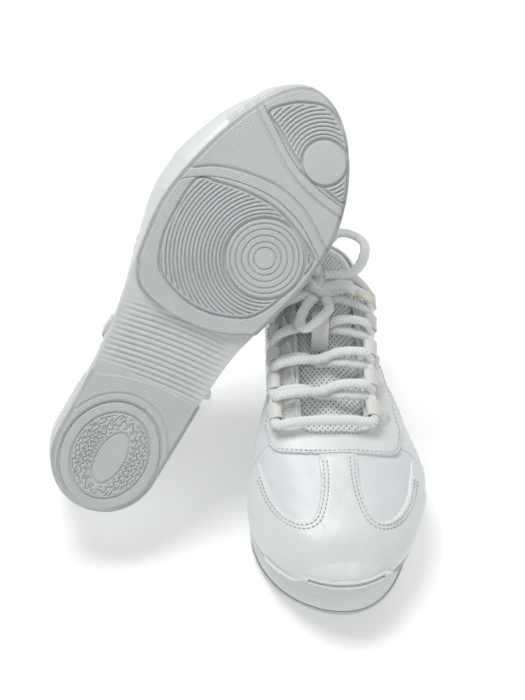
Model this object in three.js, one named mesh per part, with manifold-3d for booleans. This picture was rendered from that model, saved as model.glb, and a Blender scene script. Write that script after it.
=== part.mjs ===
// A pair of low-cut cheer shoes. The left shoe stands on the floor and the right shoe leans on it,
// sole outwards. Units are millimetres and +Z is up.
//
// Both shoes are the same design. Each is built in its own shoe frame: +X to the inner side of the
// foot, +Y to the toe, +Z up, with the heel's back at y = 0 and the floor at z = 0. The right shoe is
// the left one mirrored. The origin of the pair is the middle of the standing shoe's heel pod.

import * as THREE from 'three';
import { mergeVertices } from 'three/addons/utils/BufferGeometryUtils.js';
import Module from 'manifold-3d';

const wasm = await Module();
wasm.setup();

// ---------------------------------------------------------------- driving sizes
const SOLE_LENGTH = 262;
const BALL_WIDTH = 93;
const UPPER_HEIGHT = 80;
const GAP = 0.3;

const OUTSOLE_THICK = 3.6;
const SOCKLINER_THICK = 4;
const BOARD_THICK = 1.6;
const UPPER_THICK = 1.6;
const OVERLAY_THICK = 1.3;
const COLLAR_PAD_THICK = 6;
const TONGUE_THICK = 4.5;

const LACE_RADIUS = 2.2;
const SLEEVE_WALL = 0.9;
const SLEEVE_ROOM = 1;
const SLEEVE_LENGTH = 9;
const LACE_ROWS = 5;
const ROW_PITCH = 18.5;
const FIRST_ROW_Y = 163.5;
const FACING_X = 18;
const LOOP_X = 23;
const AGLET_LENGTH = 12;
const AGLET_RADIUS = 1.8;

const BALL_DISC = { x: 19, y: 167.5, radius: 21.2 };
const TOE_DISC = { x: 21, y: 229, radius: 12 };
const HEEL_POD = { x: 1, y: 33, radiusX: 26, radiusY: 29.75 };

// The profiles below are drawn for one last size and graded to the sizes above.
const LAST = { length: 262, width: 93, height: 80 };
const gradeX = BALL_WIDTH / LAST.width;
const gradeY = SOLE_LENGTH / LAST.length;
const gradeZ = UPPER_HEIGHT / LAST.height;

// ---------------------------------------------------------------- curves of the last
// Smooth curve through [station, value] points, held level outside them.
function curve(points) {
  const last = points.length - 1;
  const slope = (i) => {
    const before = points[Math.max(i - 1, 0)];
    const after = points[Math.min(i + 1, last)];
    return (after[1] - before[1]) / (after[0] - before[0]);
  };
  return (station) => {
    const s = Math.min(Math.max(station, points[0][0]), points[last][0]);
    let i = 0;
    while (i < last - 1 && s > points[i + 1][0]) i += 1;
    const [s0, v0] = points[i];
    const [s1, v1] = points[i + 1];
    const span = s1 - s0;
    const t = (s - s0) / span;
    const t2 = t * t;
    const t3 = t2 * t;
    return (2 * t3 - 3 * t2 + 1) * v0 + (t3 - 2 * t2 + t) * span * slope(i)
      + (3 * t2 - 2 * t3) * v1 + (t3 - t2) * span * slope(i + 1);
  };
}

// A profile of the last along its length, graded in both directions.
function profile(points, grade) {
  const shape = curve(points);
  return (y) => grade * shape(y / gradeY);
}

const clamp01 = (t) => Math.min(Math.max(t, 0), 1);
const HEEL_ROUND = 30 * gradeY;
const medialBase = profile([[0, 29], [30, 30], [60, 30.5], [90, 31], [115, 33.5], [140, 40],
  [165, 46], [190, 47.5], [225, 47], [262, 45]], gradeX);
const lateralBase = profile([[0, 29], [30, 30], [60, 31], [90, 33], [115, 37.5], [140, 42.5],
  [165, 45.5], [200, 45.5], [262, 44]], gradeX);
const TOE_ROUND = {
  medial: { start: 190 * gradeY, power: 1.65 },
  lateral: { start: 165 * gradeY, power: 1.5 },
};
const MEDIAL = 1;
const LATERAL = -1;

// Roundness of the plan at the heel and the toe, from 0 at the ends to 1 along the middle.
function planRound(y, side) {
  const { start, power } = side === MEDIAL ? TOE_ROUND.medial : TOE_ROUND.lateral;
  const heel = 1 - clamp01(y / HEEL_ROUND);
  const toe = clamp01((y - start) / (SOLE_LENGTH - start));
  return Math.sqrt(1 - heel * heel) * Math.sqrt(1 - toe ** power);
}

const halfBase = (y, side) => (side === MEDIAL ? medialBase(y) : lateralBase(y));

// Underside of the sole above the floor: a bevel at the heel and a spring at the toe.
function ground(y) {
  const heel = clamp01(1 - y / (12 * gradeY));
  const toe = Math.max(0, (y - 195 * gradeY) / (67 * gradeY));
  return gradeZ * (3 * heel * heel + 14 * toe * toe);
}

// Feather line, where the upper meets the midsole, and the ridge line over the instep.
const featherZ = profile([[0, 27], [40, 26], [90, 23], [130, 20], [165, 18], [200, 18.5],
  [230, 22], [262, 29]], gradeZ);
const ridgeZ = profile([[0, 118], [30, 118], [60, 114.5], [75, 109.5], [90, 103.5], [105, 97.5],
  [120, 91], [135, 84.5], [150, 78], [165, 72], [180, 67], [195, 62.5], [210, 57.5], [225, 52.5],
  [240, 48], [250, 43]], gradeZ);

// How far the ridge stands over to the inner side of the foot.
const ridgeX = profile([[0, 0], [60, 1], [95, 2], [120, 4.5], [150, 6.5], [172, 6.5], [195, 4.5],
  [225, 2], [262, 0]], gradeX);
const collarZ = profile([[0, 80], [20, 75], [40, 66], [56, 64], [72, 74], [86, 90]], gradeZ);

// ---------------------------------------------------------------- surface of the upper
const HEEL_CENTRE_Y = 32 * gradeY;
const UPPER_TIP_Y = SOLE_LENGTH - 2;
const UPPER_INSET = 1;
const TOE_DROP_Y = 232 * gradeY;
const SECTION_POWER = 3.1;

// How far the toe box swells over the edge of the sole, along the shoe and up the wall.
const swellAlong = profile([[0, 0], [110, 0], [150, 3], [180, 6], [215, 6], [232, 4.8], [250, 2],
  [262, 0]], gradeX);
const swellShare = (side) => (side === MEDIAL ? 0.4 : 1.5);
const swellUp = (q) => 5.4 * q * (1 - q) ** 1.5;

// Half width of the upper at a height share q (0 at the feather, 1 at the ridge), at depth d under
// the outer skin. A negative depth is outside the skin.
function upperHalf(y, side, q, depth) {
  const width = (halfBase(y, side) - UPPER_INSET - depth) * planRound(Math.max(y, HEEL_ROUND), side);
  return width * (1 - q ** 2) ** (1 / SECTION_POWER) + swellShare(side) * swellAlong(y) * swellUp(q);
}

// Height of the ridge over the feather at depth d.
function upperRise(y, depth) {
  const drop = clamp01((y - TOE_DROP_Y) / (SOLE_LENGTH - TOE_DROP_Y));
  return (ridgeZ(y) - featherZ(y) - depth) * Math.sqrt(1 - drop ** 2.2);
}

// Point of the upper ahead of the heel, by station y, side, height share q and depth d. Nested
// layers share their stations, so they end one inside the other at the toe.
function upperPoint(y, side, q, depth) {
  const stretch = (UPPER_TIP_Y - depth - HEEL_CENTRE_Y) / (SOLE_LENGTH - HEEL_CENTRE_Y);
  const placed = HEEL_CENTRE_Y + (y - HEEL_CENTRE_Y) * stretch;
  const x = ridgeX(y) * q * q + side * upperHalf(y, side, q, depth);
  const z = featherZ(placed) + GAP + upperRise(y, depth) * q;
  return new THREE.Vector3(x, placed, z);
}

// Height share of the skin at a plan distance x from the ridge.
function shareAt(y, side, x, depth = 0) {
  const half = upperHalf(y, side, 0, depth);
  return Math.sqrt(1 - Math.min(Math.abs(x) / half, 0.98) ** SECTION_POWER);
}

// Point of the heel wall by sweep (0 at the back seam, 1 where the straight wall starts), height
// share q and depth d. The back curves in towards the collar.
function heelPoint(sweep, side, q, depth) {
  const angle = sweep * Math.PI / 2;
  const z = featherZ(HEEL_CENTRE_Y * (1 - Math.cos(angle))) + GAP
    + upperRise(HEEL_CENTRE_Y, depth) * q;
  const lean = 0.0035 * (z - 42 * gradeZ) ** 2;
  const reach = HEEL_CENTRE_Y - UPPER_INSET - lean - depth;
  const half = upperHalf(HEEL_CENTRE_Y, side, q, depth);
  const x = side * half * Math.sin(angle) + ridgeX(0) * q * q;
  return new THREE.Vector3(x, HEEL_CENTRE_Y - reach * Math.cos(angle), z);
}

// ---------------------------------------------------------------- mesh helpers
// Closed solid between an outer and an inner grid of points of the same size. On a seamed grid the
// two halves of the first row meet, so that row has no edge.
function shell(outer, inner, seamed = false) {
  const rows = outer.length;
  const cols = outer[0].length;
  const positions = [];
  const face = (a, b, c) => {
    const area = new THREE.Triangle(a, b, c).getArea();
    if (area > 1e-4) positions.push(...a.toArray(), ...b.toArray(), ...c.toArray());
  };
  const quad = (a, b, c, d) => {
    face(a, b, c);
    face(a, c, d);
  };
  for (let i = 0; i < rows - 1; i += 1) {
    for (let j = 0; j < cols - 1; j += 1) {
      quad(outer[i][j], outer[i + 1][j], outer[i + 1][j + 1], outer[i][j + 1]);
      quad(inner[i][j], inner[i][j + 1], inner[i + 1][j + 1], inner[i + 1][j]);
    }
    quad(outer[i][0], inner[i][0], inner[i + 1][0], outer[i + 1][0]);
    quad(outer[i + 1][cols - 1], inner[i + 1][cols - 1], inner[i][cols - 1], outer[i][cols - 1]);
  }
  for (let j = 0; j < cols - 1; j += 1) {
    if (!seamed) quad(outer[0][j], outer[0][j + 1], inner[0][j + 1], inner[0][j]);
    quad(inner[rows - 1][j], inner[rows - 1][j + 1], outer[rows - 1][j + 1], outer[rows - 1][j]);
  }
  return faceOut(weld(positions));
}

function weld(positions) {
  const geometry = new THREE.BufferGeometry();
  geometry.setAttribute('position', new THREE.Float32BufferAttribute(positions, 3));
  return mergeVertices(geometry, 1e-3);
}

// Turns a closed mesh's faces outwards if its signed volume is negative.
function faceOut(geometry) {
  const index = geometry.index.array;
  const corner = (i) => new THREE.Vector3().fromBufferAttribute(geometry.attributes.position, i);
  let volume = 0;
  for (let i = 0; i < index.length; i += 3) {
    const across = corner(index[i + 1]).cross(corner(index[i + 2]));
    volume += corner(index[i]).dot(across);
  }
  if (volume < 0) {
    for (let i = 0; i < index.length; i += 3) {
      [index[i], index[i + 1]] = [index[i + 1], index[i]];
    }
  }
  return geometry;
}

// Grid of points from two lists of parameters.
const grid = (rows, cols, point) => rows.map((r) => cols.map((c) => point(r, c)));

// Evenly spaced numbers from a to b.
const spread = (a, b, count) => Array.from({ length: count + 1 }, (_, i) => a + (b - a) * i / count);

function toSolid(geometry) {
  const plain = geometry.clone();
  plain.deleteAttribute('normal');
  plain.deleteAttribute('uv');
  const merged = mergeVertices(plain, 1e-3);
  return new wasm.Manifold(new wasm.Mesh({
    numProp: 3,
    vertProperties: new Float32Array(merged.attributes.position.array),
    triVerts: new Uint32Array(merged.index.array),
  }));
}

function toGeometry(solid) {
  const mesh = solid.getMesh();
  const geometry = new THREE.BufferGeometry();
  geometry.setAttribute('position', new THREE.BufferAttribute(mesh.vertProperties, 3));
  geometry.setIndex(new THREE.BufferAttribute(mesh.triVerts, 1));
  return geometry;
}

// Upright prism over a plan outline, tall enough to cut right through the shoe.
function prism(outline) {
  const shape = new THREE.Shape(outline);
  const geometry = new THREE.ExtrudeGeometry(shape, { depth: 240, bevelEnabled: false });
  geometry.translate(0, 0, -30);
  return toSolid(geometry);
}

// Prism over an outline seen from the side (y, z), right through the shoe.
function sidePrism(outline) {
  const shape = new THREE.Shape(outline);
  const geometry = new THREE.ExtrudeGeometry(shape, { depth: 2 * EDGE, bevelEnabled: false });
  geometry.translate(0, 0, -EDGE);
  const turn = new THREE.Matrix4().makeBasis(
    new THREE.Vector3(0, 1, 0), new THREE.Vector3(0, 0, 1), new THREE.Vector3(1, 0, 0));
  return toSolid(geometry.applyMatrix4(turn));
}

// Path whose stations are exactly a list of points.
class Route extends THREE.Curve {
  constructor(points) {
    super();
    this.points = points;
  }

  getPoint(t) {
    const last = this.points.length - 1;
    const i = Math.min(Math.floor(t * last + 1e-6), last - 1);
    return new THREE.Vector3().lerpVectors(this.points[i], this.points[i + 1], t * last - i);
  }

  getPointAt(u) {
    return this.getPoint(u);
  }

  getTangentAt(u) {
    const last = this.points.length - 1;
    const i = Math.round(u * last);
    const before = this.points[Math.max(i - 1, 0)];
    const after = this.points[Math.min(i + 1, last)];
    return new THREE.Vector3().subVectors(after, before).normalize();
  }
}

// Round cord with one section at each point of its route.
function cordMesh(points, radius, sides) {
  const corners = spread(0, 2 * Math.PI, sides).slice(1)
    .map((a) => new THREE.Vector2(radius * Math.cos(a), radius * Math.sin(a)));
  return new THREE.ExtrudeGeometry(new THREE.Shape(corners), {
    extrudePath: new Route(points),
    steps: points.length - 1,
    bevelEnabled: false,
  });
}

// ---------------------------------------------------------------- sole
const SOLE_STATIONS = 30;

// Body of the sole between plan outlines: each level has an inset and a height along the shoe.
function soleLoft(levels, from = 0, to = SOLE_LENGTH) {
  const stations = spread(0, Math.PI, SOLE_STATIONS).map((a) => from + (to - from) * (1 - Math.cos(a)) / 2);
  const edge = (y, side, level) => {
    const share = y / SOLE_LENGTH;
    const front = level.front ?? level.inset;
    const placed = level.inset + share * (SOLE_LENGTH - level.inset - front);
    const x = side * (halfBase(y, side) - level.inset) * planRound(y, side);
    return new THREE.Vector3(x, placed, level.height(placed));
  };
  const top = levels[levels.length - 1];
  const sections = stations.map((y) => {
    const ring = [edge(y, LATERAL, top)];
    for (const level of [...levels].reverse().slice(1)) ring.push(edge(y, LATERAL, level));
    for (const level of levels) ring.push(edge(y, MEDIAL, level));
    return ring;
  });
  return faceOut(weld(ringTriangles(sections)));
}

// Skin over a row of closed sections of the same size, with fans on the first and last.
function ringTriangles(sections) {
  const positions = [];
  const face = (a, b, c) => {
    const area = new THREE.Triangle(a, b, c).getArea();
    if (area > 1e-4) positions.push(...a.toArray(), ...b.toArray(), ...c.toArray());
  };
  for (let i = 0; i < sections.length - 1; i += 1) {
    const [a, b] = [sections[i], sections[i + 1]];
    for (let j = 0; j < a.length; j += 1) {
      const k = (j + 1) % a.length;
      face(a[j], b[j], b[k]);
      face(a[j], b[k], a[k]);
    }
  }
  const [first, last] = [sections[0], sections[sections.length - 1]];
  for (let j = 1; j < first.length - 1; j += 1) {
    face(first[0], first[j], first[j + 1]);
    face(last[0], last[j + 1], last[j]);
  }
  return positions;
}

const inBase = (points) => points.map(([x, y]) => new THREE.Vector2(x * gradeX, y * gradeY));

// Edges of the rubber units, from the lateral to the medial side.
const HEEL_FRONT = inBase([[-60, 62], [-30, 68], [-20, 72], [-10, 75.5], [0, 78], [12, 79.5],
  [30, 80], [60, 80]]);
const BALL_REAR = inBase([[-60, 146], [-40, 134], [-34, 124], [-27, 119], [-12, 116.3], [0, 116.5],
  [12, 118.5], [23, 122.5], [33, 128], [60, 142]]);
const BALL_FRONT = inBase([[-60, 170], [-46, 178], [-38, 184.5], [-30, 190], [-20, 194],
  [-8, 196.8], [5, 198], [16, 196.5], [27, 193], [40, 185.5], [60, 172]]);
const TOE_REAR = inBase([[-60, 256], [-26, 240], [-19, 235.5], [-10, 230], [0, 223.5], [10, 218.5],
  [20, 215.5], [30, 213.8], [42, 213], [60, 212.5]]);

// Region of the plan between two of those edges, drawn in by half a gap on each.
function region(rear, front) {
  const far = SOLE_LENGTH + 20;
  const back = rear ? rear.map((p) => new THREE.Vector2(p.x, p.y + GAP / 2))
    : [new THREE.Vector2(-70 * gradeX, -20), new THREE.Vector2(70 * gradeX, -20)];
  const ahead = front ? front.map((p) => new THREE.Vector2(p.x, p.y - GAP / 2))
    : [new THREE.Vector2(-70 * gradeX, far), new THREE.Vector2(70 * gradeX, far)];
  return prism([...back, ...[...ahead].reverse()]);
}

function ellipse(disc, grow = 0) {
  const radiusX = (disc.radiusX ?? disc.radius) + grow;
  const radiusY = (disc.radiusY ?? disc.radius) + grow;
  const path = new THREE.EllipseCurve(disc.x * gradeX, disc.y * gradeY, radiusX, radiusY);
  return prism(path.getPoints(24).slice(0, -1));
}

// Rubber sheet of the outsole, cut below into its units and discs.
function outsoleSheet() {
  return toSolid(soleLoft([
    { inset: 2.2, height: ground },
    { inset: 0.2, height: (y) => ground(y) + OUTSOLE_THICK * 0.6 },
    { inset: 0.6, height: (y) => ground(y) + OUTSOLE_THICK },
  ]));
}

function outsoleUnits() {
  const sheet = outsoleSheet();
  const unit = (area, disc) => {
    const piece = sheet.intersect(area);
    return disc ? piece.subtract(ellipse(disc, GAP)) : piece;
  };
  return {
    outsole_heel: unit(region(null, HEEL_FRONT), HEEL_POD),
    heel_pod: unit(ellipse(HEEL_POD)),
    outsole_ball: unit(region(BALL_REAR, BALL_FRONT), BALL_DISC),
    ball_disc: unit(ellipse(BALL_DISC)),
    outsole_bridge: unit(region(BALL_FRONT, TOE_REAR)),
    outsole_toe: unit(region(TOE_REAR, null), TOE_DISC),
    toe_disc: unit(ellipse(TOE_DISC)),
  };
}

function midsole() {
  const base = (y) => ground(y) + OUTSOLE_THICK + GAP;
  return soleLoft([
    { inset: 0.8, height: base },
    { inset: 0, height: (y) => base(y) + (featherZ(y) - base(y)) * 0.45 },
    { inset: 0.7, height: featherZ },
  ]);
}

// Flat inner piece on top of the midsole, drawn in from the outline and more so at the toe.
function innerSole(inset, front, bottom, thick) {
  return soleLoft([
    { inset, front, height: (y) => featherZ(y) + bottom },
    { inset, front, height: (y) => featherZ(y) + bottom + thick },
  ]);
}

// ---------------------------------------------------------------- upper
// Every piece of the upper is a layer of the same skin, cut to its outline.
const SKIN_SWEEPS = [0, 0.25, 0.5, 0.75];
const SKIN_STEPS = { ahead: 12, toe: 5, across: 12 };
const TOE_FROM_Y = 200 * gradeY;

function skinPoint(station, f, depth) {
  const side = f < 0 ? LATERAL : MEDIAL;
  const q = Math.cos(Math.abs(f) * Math.PI / 2);
  return station.y === undefined ? heelPoint(station.sweep, side, q, depth)
    : upperPoint(station.y, side, q, depth);
}

// Layer of the skin between two depths, from the heel seam to the toe tip.
function skinLayer(near, far) {
  const stations = [
    ...SKIN_SWEEPS.map((sweep) => ({ sweep })),
    ...spread(HEEL_CENTRE_Y, TOE_FROM_Y, SKIN_STEPS.ahead).map((y) => ({ y })),
    ...spread(0, Math.PI / 2, SKIN_STEPS.toe).slice(1)
      .map((a) => ({ y: TOE_FROM_Y + (SOLE_LENGTH - TOE_FROM_Y) * Math.sin(a) })),
  ];
  const layer = (depth) => grid(stations, spread(-1, 1, SKIN_STEPS.across),
    (s, f) => skinPoint(s, f, depth));
  return toSolid(shell(layer(near), layer(far), true));
}

const THROAT_Y = 176 * gradeY;
const COLLAR_FRONT_Y = 86 * gradeY;
const EDGE = 70 * gradeX;

const mirrored = (half) => [...half, ...half.slice().reverse().filter(([x]) => x !== 0)
  .map(([x, y]) => [-x, y])];

// Lacing opening, seen from above.
function throatCut() {
  const side = FACING_X * gradeX;
  const half = [[side, 60 * gradeY], [side, THROAT_Y - 7], [side - 2, THROAT_Y - 2],
    [side - 7, THROAT_Y], [0, THROAT_Y + 0.5]];
  return prism(mirrored(half).map((p) => new THREE.Vector2(...p)));
}

// Everything above the collar line, seen from the side.
function collarCut(front = COLLAR_FRONT_Y) {
  const line = spread(0, front, 12).map((y) => new THREE.Vector2(y, collarZ(y)));
  const over = 300;
  return sidePrism([new THREE.Vector2(-60, over), new THREE.Vector2(-60, collarZ(0)), ...line,
    new THREE.Vector2(front, over)]);
}

// Half of the plan on one side of the heel and throat seams, behind the throat.
function quarterArea(side) {
  const middle = side * GAP / 2;
  const points = [[middle, -30], [side * EDGE, -30], [side * EDGE, THROAT_Y - GAP],
    [middle, THROAT_Y - GAP]];
  return prism((side === MEDIAL ? points : points.reverse()).map((p) => new THREE.Vector2(...p)));
}

function vamp() {
  const area = [[-EDGE, THROAT_Y], [EDGE, THROAT_Y], [EDGE, SOLE_LENGTH + 20],
    [-EDGE, SOLE_LENGTH + 20]];
  const front = prism(area.map((p) => new THREE.Vector2(...p)));
  return skinLayer(0, UPPER_THICK).intersect(front).subtract(throatCut());
}

function quarter(side) {
  return skinLayer(0, UPPER_THICK).intersect(quarterArea(side)).subtract(throatCut())
    .subtract(collarCut());
}

const overlay = () => skinLayer(-GAP - OVERLAY_THICK, -GAP);

// T-shaped toe cap: a stem up the middle, a round lobe each side and wings back to the feather.
function toeCap() {
  const half = [[60, 262], [60, 176], [45, 178], [41, 192], [37, 208], [30, 221], [22, 227.5],
    [15.5, 226], [12, 217], [10.5, 205], [10, 191.5], [0, 191.5]];
  const outline = inBase(mirrored(half));
  outline.push(new THREE.Vector2(-EDGE, SOLE_LENGTH + 20), new THREE.Vector2(EDGE, SOLE_LENGTH + 20));
  return overlay().intersect(prism(outline));
}

// Lacing overlay: two arms beside the throat joined by the band in front of it.
function eyestay() {
  const half = [[0, 76], [22, 80], [25, 100], [32.5, 133], [36, 153], [37.5, 168], [36.5, 178],
    [31, 185.5], [17, 189.8], [0, 190.8]];
  const behind = sidePrism([[-60, 300], [-60, 0], [COLLAR_FRONT_Y - 6, 0], [COLLAR_FRONT_Y, 300]]
    .map((p) => new THREE.Vector2(...p)));
  return overlay().intersect(prism(inBase(mirrored(half)))).subtract(throatCut())
    .subtract(collarCut()).subtract(behind);
}

const BUMPER_BACK_Y = 256 * gradeY;
const BUMPER_THICK = 1.6;

function toeBumper() {
  const outside = -2 * GAP - OVERLAY_THICK;
  const area = [[-EDGE, BUMPER_BACK_Y], [EDGE, BUMPER_BACK_Y], [EDGE, SOLE_LENGTH + 20],
    [-EDGE, SOLE_LENGTH + 20]];
  return skinLayer(outside - BUMPER_THICK, outside)
    .intersect(prism(area.map((p) => new THREE.Vector2(...p))));
}

// Band of the heel wall from the back to a reach, between two heights, seen from the side.
function heelBand({ reach, bottom, top }) {
  const ys = spread(0, reach, 8);
  const under = ys.map((y) => new THREE.Vector2(y, bottom(y)));
  const over = ys.map((y) => new THREE.Vector2(y, top(y))).reverse();
  return sidePrism([new THREE.Vector2(-30, bottom(0)), ...under, ...over,
    new THREE.Vector2(-30, top(0))]);
}

function heelCounter() {
  return overlay().intersect(heelBand({
    reach: 64 * gradeY,
    bottom: () => 0,
    top: (y) => (60 - 0.004 * (y / gradeY) ** 2 - 0.2 * y / gradeY) * gradeZ,
  }));
}

const PAD_DROP = 26 * gradeZ;
const SOCKLINER_TOP = BOARD_THICK + SOCKLINER_THICK + 3 * GAP;

function heelStiffener() {
  const depth = UPPER_THICK + GAP;
  return skinLayer(depth, depth + 1.3).intersect(heelBand({
    reach: 54 * gradeY,
    bottom: (y) => featherZ(y) + SOCKLINER_TOP + 2 * GAP,
    top: (y) => collarZ(y) - PAD_DROP - 2 * GAP,
  }));
}

function collarPad() {
  const depth = UPPER_THICK + GAP;
  return skinLayer(depth, depth + COLLAR_PAD_THICK).intersect(heelBand({
    reach: 82 * gradeY,
    bottom: (y) => collarZ(y) - PAD_DROP,
    top: collarZ,
  })).subtract(prism(tongueOutline(1)));
}

// ---------------------------------------------------------------- tongue
const TONGUE_DEPTH = 3.2;

// Plan of the tongue, grown by a margin.
function tongueOutline(margin) {
  const half = [[0, 64], [11, 64.5], [17, 68], [20, 82], [22.5, 105], [24, 130], [25, 183], [0, 183]];
  const grown = half.map(([x, y]) => [x && x + margin, y < 100 ? y - margin : y + margin]);
  return inBase(mirrored(grown));
}

// Padded tongue under the throat, from its free top end to the seam under the vamp.
function tongue() {
  return skinLayer(TONGUE_DEPTH, TONGUE_DEPTH + TONGUE_THICK).intersect(prism(tongueOutline(0)));
}

// Webbing bridge on the tongue: it stands over the lace and turns down to the tongue at its ends.
const KEEPER = { reach: 10.5, halfWidth: 4.8, thick: 1.1 };
const KEEPER_SLACK = 3.8;

function tongueKeeper() {
  const over = TONGUE_DEPTH - 4 * LACE_RADIUS - KEEPER_SLACK - KEEPER.thick;
  const ends = TONGUE_DEPTH - GAP - KEEPER.thick;
  const layer = (extra) => grid(spread(0, 1, 8), [-1, 1], (t, c) => {
    const y = (rowY(2) + rowY(3)) / 2 + KEEPER.reach * (2 * t - 1);
    const rise = Math.sin(Math.PI * t) ** 0.6;
    const depth = ends + (over - ends) * rise + extra;
    return facingPoint(y, c < 0 ? LATERAL : MEDIAL, KEEPER.halfWidth * c, depth);
  });
  return toSolid(shell(layer(0), layer(KEEPER.thick)));
}

// ---------------------------------------------------------------- lacing
const EYESTAY_TOP = -GAP - OVERLAY_THICK;
const LOOP_GAP = 1.2;
const SLEEVE_INNER = LACE_RADIUS + SLEEVE_ROOM;
const SLEEVE_OUTER = SLEEVE_INNER + SLEEVE_WALL;
const SLEEVE_DEPTH = EYESTAY_TOP - LOOP_GAP - SLEEVE_OUTER;
const TAPE_THICK = 0.9;
const TAPE_HALF = 2.4;
const SLEEVE_SIDES = 6;
const rowY = (row) => (FIRST_ROW_Y - ROW_PITCH * row) * gradeY;

// Point on a layer by station and plan distance from the ridge.
function facingPoint(y, side, x, depth) {
  return upperPoint(y, side, shareAt(y, side, x), depth);
}

// The loops stand a set distance from the ridge, but not past the side of a narrow instep.
const loopX = (y, side) => Math.min(LOOP_X * gradeX, 0.8 * upperHalf(y, side, 0, 0));
const atLoop = (y, side) => facingPoint(y, side, loopX(y, side), SLEEVE_DEPTH);

// Webbing sleeve of one row: a short tube that lies along the facing.
function sleeve(row, side) {
  const rear = atLoop(rowY(row) - SLEEVE_LENGTH / 2, side);
  const front = atLoop(rowY(row) + SLEEVE_LENGTH / 2, side);
  const along = new THREE.Vector3().subVectors(front, rear).normalize();
  const start = rear.clone().addScaledVector(along, -2);
  const end = front.clone().addScaledVector(along, 2);
  return {
    outer: toSolid(cordMesh([rear, front], SLEEVE_OUTER, SLEEVE_SIDES)),
    bore: toSolid(cordMesh([start, end], SLEEVE_INNER, SLEEVE_SIDES)),
  };
}

// All the sleeves of one side, sewn to one tape that runs along the facing.
function laceLoops(side) {
  const rows = spread(0, LACE_ROWS - 1, LACE_ROWS - 1);
  const stations = [rowY(0) + 3, ...rows.slice(1, -1).map(rowY), rowY(LACE_ROWS - 1) - 3];
  const layer = (depth) => grid(stations, [-TAPE_HALF, TAPE_HALF],
    (y, offset) => facingPoint(y, side, loopX(y, side) + offset, depth));
  const under = EYESTAY_TOP - LOOP_GAP;
  let body = toSolid(shell(layer(under - TAPE_THICK), layer(under)));
  const sleeves = rows.map((row) => sleeve(row, side));
  for (const { outer } of sleeves) body = body.add(outer);
  for (const { bore } of sleeves) body = body.subtract(bore);
  return body;
}

// Depths of the lower and the upper strand where they leave the sleeves, halfway in and crossing.
const STACK = 2 * LACE_RADIUS + 0.5;
const UNDER = { side: EYESTAY_TOP - LACE_RADIUS - LOOP_GAP - 3 * GAP, half: -3.4, middle: 0.7 };

// Points of a crossing between two rows, from one side to the other. The strand that starts on the
// medial side is on top in every second crossing.
function crossing(row, side, onTop) {
  const lift = onTop ? -STACK : 0;
  const y = (rowY(row) + rowY(row + 1)) / 2;
  const from = loopX(y, side) - 2 * LACE_RADIUS;
  const to = loopX(y, -side) - 2 * LACE_RADIUS;
  return [
    facingPoint(y, side, from, UNDER.side + lift),
    facingPoint(y, side, from / 2, UNDER.half + lift),
    facingPoint(y, MEDIAL, 0, UNDER.middle + lift),
    facingPoint(y, -side, to / 2, UNDER.half + lift),
    facingPoint(y, -side, to, UNDER.side + lift),
  ];
}

const KNOT = { y: 97, depth: 1.1 - LACE_RADIUS - STACK, radius: [7.5, 5.2, 4.4] };
const knotPoint = () => facingPoint(KNOT.y * gradeY, MEDIAL, 0, KNOT.depth);

// One strand from the bar in front, through a sleeve of each row, crossing at each, to the knot.
function strand(firstSide) {
  const half = SLEEVE_LENGTH / 2;
  const barY = rowY(0) + half + 2 * LACE_RADIUS;
  const points = [
    facingPoint(barY, -firstSide, 3, SLEEVE_DEPTH),
    facingPoint(barY, firstSide, 12 * gradeX, SLEEVE_DEPTH),
    facingPoint(barY, firstSide, loopX(barY, firstSide) - 2 * LACE_RADIUS, SLEEVE_DEPTH),
  ];
  for (let row = 0; row < LACE_ROWS; row += 1) {
    const side = row % 2 === 0 ? firstSide : -firstSide;
    points.push(atLoop(rowY(row) + half + LACE_RADIUS, side));
    points.push(atLoop(rowY(row) - half - LACE_RADIUS, side));
    if (row < LACE_ROWS - 1) {
      const onTop = (row % 2 === 0) === (firstSide === MEDIAL);
      points.push(...crossing(row, side, onTop));
    } else {
      points.push(facingPoint(rowY(row) - half - LACE_RADIUS, side, 13 * gradeX, -3.6));
    }
  }
  points.push(knotPoint());
  return toSolid(cordMesh(points, LACE_RADIUS, 6));
}

function lace() {
  const knot = new THREE.SphereGeometry(1, 10, 7);
  knot.scale(...KNOT.radius);
  const place = knotPoint();
  knot.translate(place.x, place.y, place.z);
  return strand(MEDIAL).add(strand(LATERAL)).add(toSolid(knot));
}

// ---------------------------------------------------------------- bow
// Routes of the bow's loops and ends, in steps from the middle of the knot. The standing shoe's bow
// lies on its tongue, and its steps are to the inner side, ahead and up. The leaning shoe's bow hangs
// to the floor, and its steps are to the right, back and up in the frame of the pair.
const BOWS = {
  left: {
    loop_a: [[-3, -8, 5], [-11, -7, 6], [-18, -11, 4], [-24, -20, 3], [-28, -32, 3],
      [-28, -39, 5], [-24, -43, 7], [-17, -43, 10], [-11, -40, 11], [-4, -29, 10], [1, -18, 9],
      [3, -8, 6.5]],
    loop_b: [[-2, 7.5, 0], [-3, 15, -1], [1, 22, -1.5], [6, 28, -1.5], [10.5, 31, -3],
      [14, 28, -3], [13, 21, -1.5], [9, 13, 0], [5, 7.5, 0.5]],
    end_a: [[-9, 1, 4.5], [-14, 4, 6], [-19, 9, 5]],
    end_b: [[0, -8.5, -0.5], [1, -18, 1.5], [3, -28, 4], [4, -37, 5]],
  },
  right: {
    loop_a: [[-5, 9, -3], [-14, 16, -18], [-22, 24, -34], [-26, 34, -45], [-14, 45, -47],
      [-1, 45, -47], [6, 36, -43], [6, 24, -28], [1, 13, -8]],
    loop_b: [[6, 9, -3], [13, 14, -18], [18, 16, -34], [23, 14, -45], [28, 5, -47],
      [26, -4, -43], [18, -1, -28], [9, 2, -12]],
    end_a: [[-3, 7, -9], [-7, 11, -20], [-9, 14, -32]],
    end_b: [[-8, 3, -6], [-16, 4, -16], [-20, 6, -30]],
  },
};
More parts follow.
